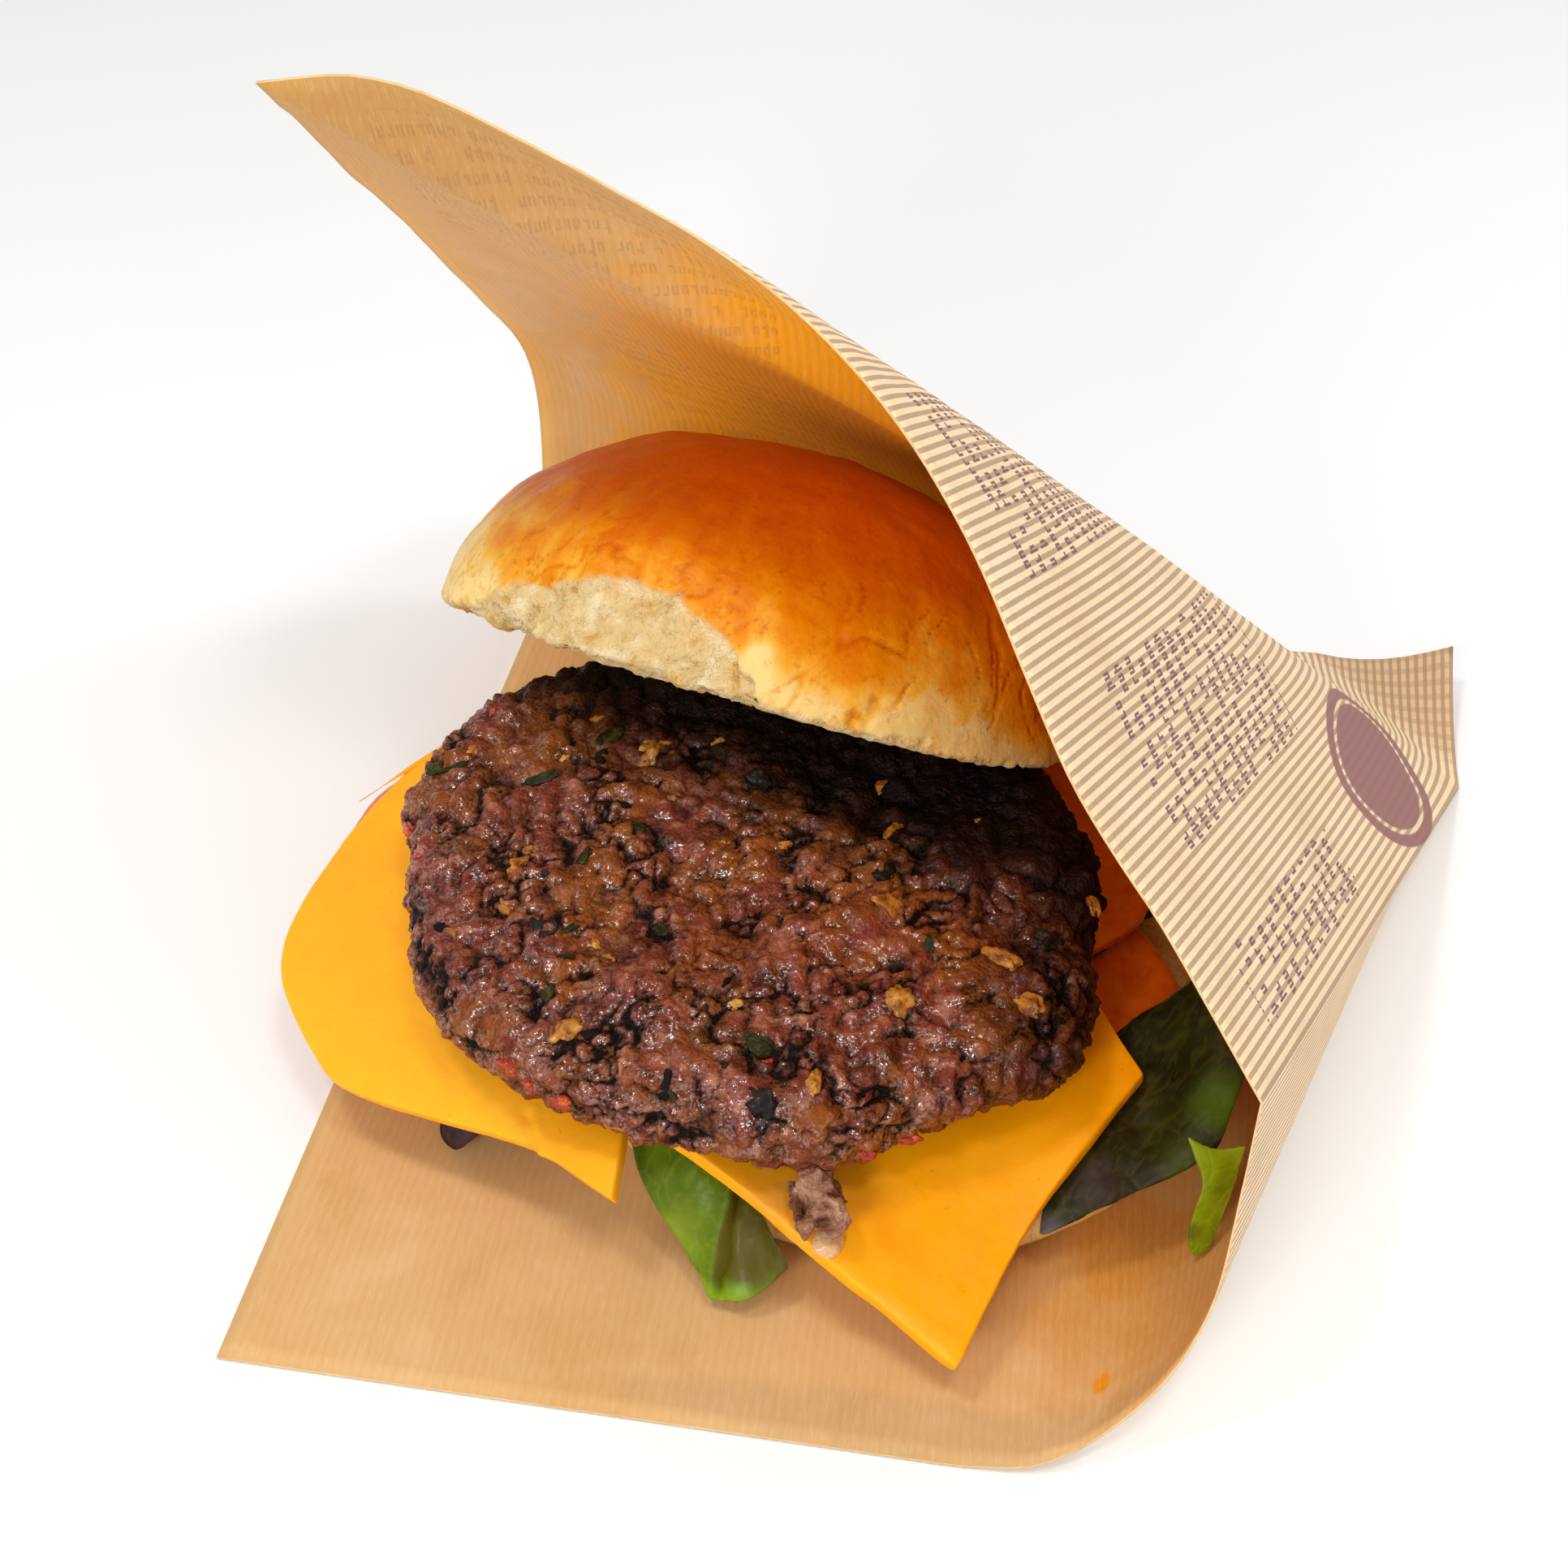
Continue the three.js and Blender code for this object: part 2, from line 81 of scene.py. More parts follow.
# %% [markdown]
# ## Floor and light
# The burger stands on a plain pale floor. A pale sky lights everything evenly, and four lamps give
# the crust, the cheese and the wet meat their highlights. Food colours are strong, so the
# plain Standard view is used, which doesn't fade them.

# %% Floor
FLOOR_SIZE = 6.0
scene.view_settings.view_transform = "Standard"


def plane(name, size, centre):
    """A square plane, its object at the origin."""
    bm = bmesh.new()
    bmesh.ops.create_grid(bm, x_segments=1, y_segments=1, size=size / 2)
    bmesh.ops.translate(bm, vec=centre, verts=bm.verts)
    return new_piece(name, bm)


def new_piece(name, bm):
    """Turns a bmesh into an object in the scene."""
    mesh = bpy.data.meshes.new(name)
    bm.to_mesh(mesh)
    bm.free()
    piece = bpy.data.objects.new(name, mesh)
    scene.collection.objects.link(piece)
    return piece


floor = plane("floor", FLOOR_SIZE, (0, 0, -0.0001))
print("floor:", FLOOR_SIZE, "m")

# %% Lights
SKY_STRENGTH = 0.66


def soft_lamp(name, place, size, power, color=(1, 1, 1)):
    """A square area lamp that looks at the burger."""
    data = bpy.data.lights.new(name, "AREA")
    data.size = size
    data.energy = power
    data.color = color
    lamp = bpy.data.objects.new(name, data)
    lamp.location = place
    lamp.rotation_euler = (Vector(place) - AIM).to_track_quat("Z", "Y").to_euler()
    scene.collection.objects.link(lamp)
    return lamp


world = bpy.data.worlds.new("sky")
world.use_nodes = True
world.node_tree.nodes["Background"].inputs["Color"].default_value = (1.0, 0.99, 0.97, 1)
world.node_tree.nodes["Background"].inputs["Strength"].default_value = SKY_STRENGTH
scene.world = world
soft_lamp("key", (-0.25, -0.12, 0.82), 0.12, 1.3, (1.0, 0.97, 0.93))
soft_lamp("second key", (0.12, -0.3, 0.8), 0.12, 1.1, (1.0, 0.97, 0.93))
soft_lamp("front", (-0.3, -0.7, 0.42), 0.2, 2.5, (1.0, 0.98, 0.95))
soft_lamp("side", (0.65, 0.15, 0.6), 0.2, 1.3)
print("lamps:", 4)

# %% [markdown]
# ## Tools for materials
# A material is a small graph of nodes. These helpers add a node, mix two colours, spread a value over
# a ramp of colours, and turn a height into a bump, so that each material below reads like a recipe.
# Arithmetic on a value writes itself: "a * 0.5 + b" adds the Math nodes that work it out.

# %% Tools for materials
MIX_FACTOR, MIX_A, MIX_B, MIX_RESULT = 0, 6, 7, 2


class Value:
    """A number that a node gives. Arithmetic on it adds Math nodes to its tree."""

    def __init__(self, socket):
        self.socket = socket

    __add__ = lambda a, b: calc("ADD", a, b)
    __sub__ = lambda a, b: calc("SUBTRACT", a, b)
    __rsub__ = lambda a, b: calc("SUBTRACT", b, a)
    __mul__ = lambda a, b: calc("MULTIPLY", a, b)
    __truediv__ = lambda a, b: calc("DIVIDE", a, b)
    __pow__ = lambda a, b: calc("POWER", a, b)
    __abs__ = lambda a: calc("ABSOLUTE", a)
    __floor__ = lambda a: calc("FLOOR", a)


def feed(node, inputs):
    """Links or sets a node's inputs, by name or by index. Each is a number, a vector or a socket."""
    for name, given in inputs.items():
        if isinstance(given, Value):
            given = given.socket
        if isinstance(given, bpy.types.NodeSocket):
            node.id_data.links.new(given, node.inputs[name])
        else:
            node.inputs[name].default_value = given


def add(tree, kind, inputs=None, **settings):
    """Adds a shader node, and gives its outputs."""
    node = tree.nodes.new("ShaderNode" + kind)
    for name, setting in settings.items():
        setattr(node, name, setting)
    feed(node, inputs or {})
    return node.outputs


def calc(operation, a, b=0.0, clamp=False):
    """One step of arithmetic, of which at least one side is a value."""
    tree = (a if isinstance(a, Value) else b).socket.id_data
    return Value(add(tree, "Math", {0: a, 1: b}, operation=operation, use_clamp=clamp)[0])


def maximum(a, b):
    return calc("MAXIMUM", a, b)


def linear(channel):
    """A channel from 0 to 255 on the screen, as the linear number that a shader takes."""
    channel /= 255
    return channel / 12.92 if channel <= 0.04045 else ((channel + 0.055) / 1.055) ** 2.4


def paint(color):
    """A colour for a shader: a socket as it is, or red, green and blue as on the screen."""
    return (*map(linear, color), 1.0) if isinstance(color, tuple) else color


def mix(tree, factor, a, b):
    """Mixes two colours."""
    return add(tree, "Mix", {MIX_FACTOR: factor, MIX_A: paint(a), MIX_B: paint(b)},
               data_type="RGBA")[MIX_RESULT]


def span(tree, value, low, high, out_low=0.0, out_high=1.0):
    """Maps a value from low..high to out_low..out_high, with soft ends."""
    inputs = {"Value": value, "From Min": low, "From Max": high, "To Min": out_low, "To Max": out_high}
    return Value(add(tree, "MapRange", inputs, interpolation_type="SMOOTHSTEP")["Result"])


def ramp(tree, value, stops):
    """Spreads a value over colours. Stops are pairs of position and colour."""
    color = add(tree, "ValToRGB", {"Fac": value})["Color"]
    elements = color.node.color_ramp.elements
    while len(elements) < len(stops):
        elements.new(0.5)
    for element, (position, shade) in zip(elements, stops):
        element.position = position
        element.color = paint(shade)
    return color


def grain(tree, vector, scale, detail=3.0, roughness=0.55, distortion=0.0):
    """Noise from 0 to 1. The scale is in cells per metre."""
    return Value(add(tree, "TexNoise", {"Vector": vector, "Scale": scale, "Detail": detail,
                                        "Roughness": roughness, "Distortion": distortion})["Fac"])


def bump(tree, height, distance, normal=None):
    """A bump whose height of 1 stands that many metres proud, on another normal if one is given."""
    under = {} if normal is None else {"Normal": normal}
    return add(tree, "Bump", {"Height": height, "Distance": distance} | under)["Normal"]


def wave(value, pitch):
    """A sine of that pitch, from 0 to 1."""
    return calc("SINE", value * (2 * math.pi / pitch)) * 0.5 + 0.5


def attribute(tree, name):
    """A value from 0 to 1 that the mesh carries at each point."""
    return Value(add(tree, "Attribute", attribute_name=name)["Fac"])


def here(tree):
    """The place on the piece, in metres."""
    return add(tree, "TexCoord")["Object"]


def plain_normal(tree):
    """The surface's own direction, for the first bump."""
    return add(tree, "NewGeometry")["Normal"]


def wear(shader, **inputs):
    """Links or sets the shader's sockets."""
    feed(shader, {name.replace("_", " "): given for name, given in inputs.items()})


def new_material(name, **constants):
    """A material with its node tree and its Principled shader, whose constant sockets are set by name."""
    material = bpy.data.materials.new(name)
    material.use_nodes = True
    shader = material.node_tree.nodes["Principled BSDF"]
    wear(shader, **constants)
    return material, material.node_tree, shader


# %% [markdown]
# ## Effects that many materials share
# Food is never one flat colour. "mottle" spreads three colours over a surface by soft noise, "pores"
# puts fine relief in it, and "print" draws the bag's print on the flat paper. Each is a node group,
# built once and placed in each material with its own colours, scale and depth.

# %% Node groups
def new_group(name, inputs, outputs):
    """A node group with named sockets: its tree, its inputs as values, and its end node."""
    tree = bpy.data.node_groups.new(name, "ShaderNodeTree")
    for way, sockets in (("INPUT", inputs), ("OUTPUT", outputs)):
        for label, kind in sockets.items():
            tree.interface.new_socket(name=label, in_out=way, socket_type="NodeSocket" + kind)
    start = tree.nodes.new("NodeGroupInput")
    return tree, {socket.name: Value(socket) for socket in start.outputs}, tree.nodes.new("NodeGroupOutput")


def mottle_group():
    """Low, middle and high colours, spread by noise on the object's own coordinates."""
    inputs = {"Vector": "Vector", "Scale": "Float", "Low": "Color", "Middle": "Color", "High": "Color"}
    tree, given, end = new_group("mottle", inputs, {"Color": "Color"})
    broad = grain(tree, given["Vector"], given["Scale"], detail=4.0, roughness=0.6, distortion=0.4)
    low = mix(tree, span(tree, broad, 0.3, 0.5), given["Low"], given["Middle"])
    feed(end, {"Color": mix(tree, span(tree, broad, 0.5, 0.72), low, given["High"])})
    return tree


def pores_group():
    """Fine relief: soft grain and small round pits, as a normal."""
    inputs = {"Vector": "Vector", "Scale": "Float", "Depth": "Float", "Normal": "Vector"}
    tree, given, end = new_group("pores", inputs, {"Normal": "Vector"})
    soft = grain(tree, given["Vector"], given["Scale"], roughness=0.5)
    pits = Value(add(tree, "TexVoronoi", {"Vector": given["Vector"], "Scale": given["Scale"]})["Distance"])
    feed(end, {"Normal": bump(tree, soft + pits * 0.5, given["Depth"], given["Normal"])})
    return tree


def within(tree, value, low, high, soft):
    """1 between two limits, fading to 0 outside them."""
    return span(tree, value, low - soft, low + soft) * span(tree, value, high - soft, high + soft, 1.0, 0.0)


STRIPE_PITCH = 1.64
DOT_PITCH = 0.34  # the halftone dots that the stripes are printed in
ROW_PITCH = 5.2  # between rows of printed marks
MARK = 1.45  # length of one mark
# Blocks of marks on the upper ply: from and to along the crease, from and to away from it.
BLOCKS = [(84, 186, 74, 104), (102, 176, 30, 58), (118, 184, 5, 17), (128, 194, 132, 186), (30, 90, 120, 170)]
BADGE = (70, 15, 25, 15)  # centre along and away, and half sizes of the printed oval


def bar(tree, value, middle, half):
    """1 within half of the middle, with thin soft ends."""
    return span(tree, abs(value - middle) - half, 0.0, 0.05, 1.0, 0.0)


def print_group():
    """The bag's print on the flat paper: stripes, rows of small marks and a plain oval."""
    tree, given, end = new_group("print", {"Along": "Float", "Away": "Float", "Vector": "Vector"},
                                 {"Stripe": "Float", "Ink": "Float", "Badge": "Float"})
    along, away = given["Along"], given["Away"] * -1.0
    fray = grain(tree, given["Vector"], 240, detail=2) - 0.5
    stripe = span(tree, wave(away + fray * 0.22, STRIPE_PITCH), 0.46, 0.66)
    dots = wave(along + away, DOT_PITCH) * wave(along - away, DOT_PITCH)
    stripe = calc("MULTIPLY", stripe, dots * 0.5 + 0.72, clamp=True)
    # Each mark is one or two upright bars and a cross bar, by chance. Some are left out as gaps.
    row = math.floor(along / ROW_PITCH)
    across = along / ROW_PITCH - (row + 0.5)
    cell = math.floor(away / MARK)
    share = away / MARK - cell
    spot_of_mark = add(tree, "CombineXYZ", {"X": row, "Y": cell})["Vector"]
    chance = add(tree, "TexWhiteNoise", {"Vector": spot_of_mark})["Color"]
    one, two, three = add(tree, "SeparateColor", {"Color": chance})
    tall = span(tree, one, 0.74, 0.75, 0.2, 0.34)
    left = bar(tree, share, 0.22, 0.12) * bar(tree, across, 0.0, tall)
    right = bar(tree, share, 0.68, 0.12) * bar(tree, across, 0.0, 0.17) * span(tree, two, 0.3, 0.31)
    cross = bar(tree, share, 0.45, 0.3) * bar(tree, across, span(tree, three, 0.5, 0.51, -0.16, 0.14), 0.04)
    mark = maximum(maximum(left, right), cross) * span(tree, three, 0.2, 0.21)
    block = 0.0
    for along_from, along_to, away_from, away_to in BLOCKS:
        inside = within(tree, along, along_from, along_to, 0.1) * within(tree, away, away_from, away_to, 0.1)
        block = maximum(block, inside)
    spread = ((along - BADGE[0]) / BADGE[2]) ** 2.0 + ((away - BADGE[1]) / BADGE[3]) ** 2.0
    oval = span(tree, spread, 0.97, 1.03, 1.0, 0.0)
    ring = within(tree, spread, 0.62, 0.72, 0.02)
    feed(end, {"Stripe": stripe, "Ink": mark * block, "Badge": oval * (1.0 - ring * 0.9)})
    return tree


GROUPS = {"mottle": mottle_group(), "pores": pores_group(), "print": print_group()}


def place(tree, group, **inputs):
    """Places a shared effect in a material, and gives its outputs as values."""
    node = tree.nodes.new("ShaderNodeGroup")
    node.node_tree = GROUPS[group]
    feed(node, inputs)
    return {output.name: Value(output) for output in node.outputs}


def mottled(tree, where, scale, low, middle, high):
    """The mottle's colour."""
    return place(tree, "mottle", Vector=where, Scale=scale, Low=paint(low), Middle=paint(middle),
                 High=paint(high))["Color"]


def pitted(tree, scale, depth, normal=None):
    """The pores' normal, on the piece's own coordinates. The depth is in millimetres."""
    under = plain_normal(tree) if normal is None else normal
    return place(tree, "pores", Vector=here(tree), Scale=scale, Depth=depth * MM, Normal=under)["Normal"]


print("node groups:", ", ".join(GROUPS))

# %% Floor material
material, tree, shader = new_material("pale floor", Roughness=0.8)
dust = mottled(tree, here(tree), 3.0, (246, 247, 249), (248, 249, 251), (250, 251, 252))
wear(shader, Base_Color=dust)
floor.data.materials.append(material)
print("floor material:", material.name)

# %% [markdown]
# ## The bag's form
# The bag is a square of two paper plies, open along two sides. Its closed corner lies at the back
# right. From a short valley line at that corner, straight lines run out to the rim of each ply: the
# lower ply lies on the table, the upper one stands up as a hood. A sheet that bends along straight
# lines is what real paper does, so the rim and the valley line describe the whole shape.

# %% The bag's driving points, in millimetres
BAG_SIDE = 200
PAPER = 0.35
TAB_CORNER = Vector((133, 72, 10))
VALLEY = (Vector((129, 40, 0)), Vector((109, 83, 0)))
VALLEY_REACH = (34, 27)  # how far the valley starts from the closed corner, along crease and fold
CREASE_END = (62, -98, 63)
FOLD_END = (-50.6, 105.6, 0)
LOWER_CORNER = (-84.3, -91.5, 0)
UPPER_CORNER = (-69, -10, 163)
ROLL = [CREASE_END, (61.8, -97.5, 44), (59.5, -102, 27), (54.5, -105, 14.5), (46, -108.5, 6),
        (36, -111, 1.3), (25, -110.2, 0)]
HOOD_FRONT = [CREASE_END, (50, -85, 80), (37, -73, 97), (17, -50, 132), (-5, -34, 149), (-38, -17, 161),
              (-54, -12.5, 165), UPPER_CORNER]
HOOD_LEFT = [UPPER_CORNER, (-70, 30, 136), (-64, 60, 108), (-57, 90, 78), (-49, 101, 54), FOLD_END]
HOOD_BULGE = 2


# %% Curves through points
def smooth_line(points, samples=40):
    """A Catmull-Rom curve through the points, as a fine polyline."""
    knots = [Vector(p) for p in points]
    knots = [2 * knots[0] - knots[1]] + knots + [2 * knots[-1] - knots[-2]]
    line = []
    for a, b, c, d in zip(knots, knots[1:], knots[2:], knots[3:]):
        for i in range(samples):
            s = i / samples
            line.append(0.5 * (2 * b + (c - a) * s + (2 * a - 5 * b + 4 * c - d) * s ** 2
                               + (3 * b - a - 3 * c + d) * s ** 3))
    return line + [knots[-2]]


def walk(line):
    """A function that gives the point at a share of the line's length."""
    marks = [0.0]
    for a, b in zip(line, line[1:]):
        marks.append(marks[-1] + (b - a).length)

    def at(share):
        target = share * marks[-1]
        low, high = 0, len(marks) - 1
        while high - low > 1:
            middle = (low + high) // 2
            low, high = (middle, high) if marks[middle] <= target else (low, middle)
        return line[low].lerp(line[high], (target - marks[low]) / (marks[high] - marks[low]))
    return at


lower_rim = (walk(smooth_line(ROLL) + [Vector(LOWER_CORNER)]), walk(smooth_line([LOWER_CORNER, FOLD_END])))
upper_rim = (walk(smooth_line(HOOD_FRONT)), walk(smooth_line(HOOD_LEFT)))
print("lower corner:", [round(x, 1) for x in lower_rim[0](1.0)])


# %% Small functions of one number
def clamped(x):
    return min(max(x, 0.0), 1.0)


def smooth(x):
    """From 0 to 1 with soft ends."""
    x = clamped(x)
    return x * x * (3 - 2 * x)


# %% A place on a ply, and where that place is on the flat paper
def arch(x):
    """0 at both ends, 1 in the middle."""
    return math.sin(math.pi * clamped(x))


def ply_point(rim, bulge, w, t):
    """w runs round the rim from the crease to the back fold, t out from the valley to the rim."""
    edge = rim[0](2 * w) if w < 0.5 else rim[1](2 * w - 1)
    root = VALLEY[0].lerp(VALLEY[1], w)
    p = root.lerp(edge, t)
    p.z += PAPER + bulge * arch(t) * arch(w) ** 2
    return p


def tab_point(w, reach):
    """From the valley (0) to the closed corner (1), both plies together."""
    p = VALLEY[0].lerp(VALLEY[1], w)
    p = p.lerp(Vector((TAB_CORNER.x, TAB_CORNER.y, 0)), reach)
    p.z = PAPER + TAB_CORNER.z * reach ** 2
    return p


def flat_place(w, t):
    """Distances along the crease and along the back fold, as shares of the bag's side."""
    edge = Vector((1, 2 * w)) if w < 0.5 else Vector((2 - 2 * w, 1))
    root = Vector((VALLEY_REACH[0] * (1 - w), VALLEY_REACH[1] * w)) / BAG_SIDE
    return root.lerp(edge, t) if t >= 0 else root * (1 + t)


print("flat place of the free corner:", tuple(flat_place(0.5, 1)))

# %% [markdown]
# The mesh starts as one flat grid whose columns go once round the mouth: out along the lower ply and
# back along the upper one. Each vertex is moved to its place on the ply, the first and last columns
# are welded at the crease, and the solidify modifier gives the paper its thickness. The flat places
# become the UV map, with the crease along its middle: the lower ply lies above it, the upper ply
# below it. So ribs, stripes and stains lie on the paper as they would when it is unfolded.

# %% The bag's mesh
BAG_COLUMNS, BAG_ROWS, TAB_ROWS = 240, 56, 6
HOOD_WRINKLE = 0.9
PLY_GAP = 0.9  # how far the upper ply lies above the lower one on the tab


def ring_place(ring):
    """A share of the way round the mouth, as (upper ply?, w)."""
    return (False, 2 * ring) if ring <= 0.5 else (True, 2 - 2 * ring)


def paper_wrinkle(p, t, w):
    """Slow waves of the free hood, in millimetres."""
    free = max(t, 0) ** 1.5 * arch(w) ** 0.5
    return HOOD_WRINKLE * free * noise.noise(p / 34) + 0.3 * free * noise.noise(p / 13)


def paper_bag():
    """The bag as one sheet round the pocket, with the flat places as its UV map."""
    bm = bmesh.new()
    bmesh.ops.create_grid(bm, x_segments=BAG_COLUMNS, y_segments=BAG_ROWS + TAB_ROWS, size=0.5)
    flat = {}
    upper_faces = {face.index for face in bm.faces if face.calc_center_median().x > 0}
    ends, tip = [], []
    for vert in bm.verts:
        ring = vert.co.x + 0.5
        upper, w = ring_place(ring)
        t = ((vert.co.y + 0.5) * (BAG_ROWS + TAB_ROWS) - TAB_ROWS) / BAG_ROWS
        if t < 0:
            t *= BAG_ROWS / TAB_ROWS
            p = tab_point(w, -t)
        else:
            p = ply_point(upper_rim if upper else lower_rim, HOOD_BULGE if upper else 0, w, t)
        if upper:
            p += Vector((0.5, 0.3, 0.8)) * paper_wrinkle(p, t, w)
            p.z += PLY_GAP * arch(w) ** 0.3 * smooth(1 - t / 0.06)
        flat[vert.index] = flat_place(w, t)
        if w < 1e-6:
            ends.append(vert)
        if t < -1 + 1e-6:
            tip.append(vert)
        vert.co = p * MM
    uv = bm.loops.layers.uv.new("flat")
    for face in bm.faces:
        for loop in face.loops:
            x, y = flat[loop.vert.index]
            loop[uv].uv = (x, -y) if face.index in upper_faces else (x, y)
    bmesh.ops.remove_doubles(bm, verts=ends, dist=1e-6)
    bmesh.ops.pointmerge(bm, verts=[v for v in tip if v.is_valid], merge_co=tip_corner())
    return new_piece("paper_bag_sheet", bm)


def tip_corner():
    """The closed corner itself."""
    return tab_point(0.5, 1) * MM


bag = paper_bag()
for polygon in bag.data.polygons:
    polygon.use_smooth = True
print("bag faces:", len(bag.data.polygons))

# %% The paper's thickness
OUTSIDE, CUT_EDGE = 1, 2  # the second and third of the bag's materials


def apply_modifiers(piece):
    """Replaces the piece's mesh by what its modifiers make of it."""
    graph = bpy.context.evaluated_depsgraph_get()
    mesh = bpy.data.meshes.new_from_object(piece.evaluated_get(graph))
    piece.modifiers.clear()
    piece.data = mesh


thickness = bag.modifiers.new("thickness", "SOLIDIFY")
thickness.thickness = PAPER * MM
thickness.offset = 1
thickness.material_offset = OUTSIDE
thickness.material_offset_rim = CUT_EDGE
print("bag box:", [round(x / MM) for x in bag.dimensions])

# %% [markdown]
# ## Kraft paper
# Inside, the paper is plain kraft with fine machine ribs. Outside it is printed cream with thin brown
# stripes of halftone dots, which run parallel to the crease. Ribs and stripes both follow the flat
# UV map, where one unit is one side of the bag.

# %% Kraft paper, inside
def flat_axes(tree):
    """The flat place as two values in millimetres: along the crease, and away from it."""
    uv = add(tree, "UVMap", uv_map="flat")["UV"]
    parts = add(tree, "SeparateXYZ", {"Vector": uv})
    return Value(parts["X"]) * BAG_SIDE, Value(parts["Y"]) * BAG_SIDE, uv


def fibres(tree, uv):
    """Paper fibres: noise stretched along the crease, from 0 to 1."""
    stretched = add(tree, "Mapping", {"Vector": uv, "Scale": (60, 420, 1)})["Vector"]
    return grain(tree, stretched, 1.0, detail=2)


def spot(tree, along, away, centre, reach, rag):
    """A soft ragged patch on the flat paper: centre and half sizes in millimetres."""
    x = (along - centre[0]) / reach[0]
    y = (away - centre[1]) / reach[1]
    far = x * x + y * y
    return span(tree, far + rag * 2.0, 0.4, 1.7, 1.0, 0.0)


OIL = ((157, 62), (13, 12))  # an oily patch at the right of the lower ply
WARM_PAPER = ((155, 45), (45, 36))  # the paper round it
DRIP = ((186.5, 66.5), (2.4, 1.4))
GREY_MARKS = ((195, 95), (5, 40))

material, tree, shader = new_material("kraft inside", Roughness=0.7, Specular_IOR_Level=0.2)
along, away, uv = flat_axes(tree)
printed = place(tree, "print", Along=along, Away=away, Vector=uv)
upper_ply = span(tree, away, -0.5, 0.5, 1.0, 0.0)
rag = grain(tree, uv, 26, detail=3) - 0.5
ribs = wave(away + rag * 0.8, STRIPE_PITCH)
kraft = mottled(tree, uv, 9.0, (212, 166, 106), (219, 174, 116), (226, 184, 130))
# Golden on the upper ply: a painted glow standing in for light that comes through the wall and bounces inside
# the pocket, and a golden band along the hood's left rim.
depth = along * 0.3 - away
painted_glow = span(tree, depth + rag * 34.0, 172, 212, 1.0, 0.0)
painted_glow = painted_glow * upper_ply * 0.95
rim = span(tree, away, -199, -190, 0.3, 0.0) * upper_ply
color = mix(tree, maximum(painted_glow, rim), kraft, (255, 176, 6))
oil = spot(tree, along, away, *OIL, rag) * 0.75
oil = maximum(oil, spot(tree, along, away, *WARM_PAPER, rag) * 0.45)
color = mix(tree, oil, color, (216, 138, 24))
# Painted shade: the upper ply darkens towards its free corner.
tip = span(tree, along - away, 270, 390) * upper_ply
color = mix(tree, tip * 0.8, color, (190, 142, 74))
color = mix(tree, spot(tree, along, away, *DRIP, rag), color, (236, 150, 20))
grey = spot(tree, along, away, *GREY_MARKS, rag) * 0.25
color = mix(tree, grey, color, (165, 138, 108))
# The ribs are painted stronger in the painted glow and the oily patch, as they show when light comes through.
through = maximum(painted_glow, oil) * 0.1 + 0.06
color = mix(tree, ribs * through, color, (160, 92, 16))
# The outside's marks show faintly through: painted show-through of light passing the thin paper.
color = mix(tree, printed["Ink"] * 0.2, color, (120, 84, 70))
color = mix(tree, span(tree, fibres(tree, uv), 0.45, 0.8) * 0.2, color, (240, 208, 160))
height = ribs * 0.3 + fibres(tree, uv)
wear(shader, Base_Color=color, Normal=bump(tree, height, 0.05 * MM))
bag.data.materials.append(material)
print("paper inside:", material.name)

# %% Printed paper, outside
material, tree, shader = new_material("printed outside", Roughness=0.65, Specular_IOR_Level=0.25)
along, away, uv = flat_axes(tree)
printed = place(tree, "print", Along=along, Away=away, Vector=uv)
ground = mottled(tree, uv, 12.0, (238, 208, 162), (246, 216, 172), (249, 222, 180))
# The tab is painted darker tan, as shade on the raised double corner, and the other ply's stripes are painted
# across it, as they show when light comes through both plies.
tab = span(tree, along + abs(away), 24, 34, 1.0, 0.0)
crossed = span(tree, wave(along, STRIPE_PITCH * 2), 0.5, 0.7) * tab
color = mix(tree, tab * 0.8, ground, (212, 176, 134))
color = mix(tree, crossed * 0.4, color, (176, 136, 104))
color = mix(tree, printed["Stripe"] * 0.95, color, (166, 134, 112))
color = mix(tree, printed["Ink"] * 0.95, color, (120, 80, 96))
color = mix(tree, printed["Badge"] * 0.95, color, (148, 98, 98))
height = fibres(tree, uv)
wear(shader, Base_Color=color, Normal=bump(tree, height, 0.04 * MM))
bag.data.materials.append(material)
print("paper outside:", material.name)

# %% The paper's cut edge, and the bag's place in the frame
material, tree, shader = new_material("cut edge", Roughness=0.8, Specular_IOR_Level=0.2)
edge_color = mottled(tree, here(tree), 200.0, (214, 176, 124), (226, 190, 140), (236, 204, 158))
wear(shader, Base_Color=edge_color)
bag.data.materials.append(material)
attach(bag, "root")
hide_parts("paper_bag")

# %% [markdown]
# ## Food from the solids
# Each piece of food starts as a copy of its solid. The copy is merged, its triangles are joined to
# quads and it is subdivided once, so that the facets go round. A voxel remesh then gives it small
# even faces, which can carry relief: bumps, crags and pores are real geometry that way.

# %% Tools for food
def merged_copy(node):
    """A bmesh of a node's solid, with shared vertices and quads where they fit."""
    bm = bmesh.new()
    bm.from_mesh(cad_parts[node].data)
    bmesh.ops.remove_doubles(bm, verts=bm.verts, dist=0.01 * MM)
    bmesh.ops.join_triangles(bm, faces=bm.faces, angle_face_threshold=0.6, angle_shape_threshold=0.8)
    return bm


def soft_copy(node, cell, smoothing, rounds=1):
    """A node's solid with even faces of that size in millimetres and its facets smoothed away."""
    piece = new_piece(node + "_dressed", merged_copy(node))
    rounding = piece.modifiers.new("rounding", "SUBSURF")
    rounding.levels = rounding.render_levels = rounds
    remesh = piece.modifiers.new("remesh", "REMESH")
    remesh.mode = "VOXEL"
    remesh.voxel_size = cell * MM
    relax = piece.modifiers.new("relax", "SMOOTH")
    relax.iterations = smoothing
    apply_modifiers(piece)
    return piece


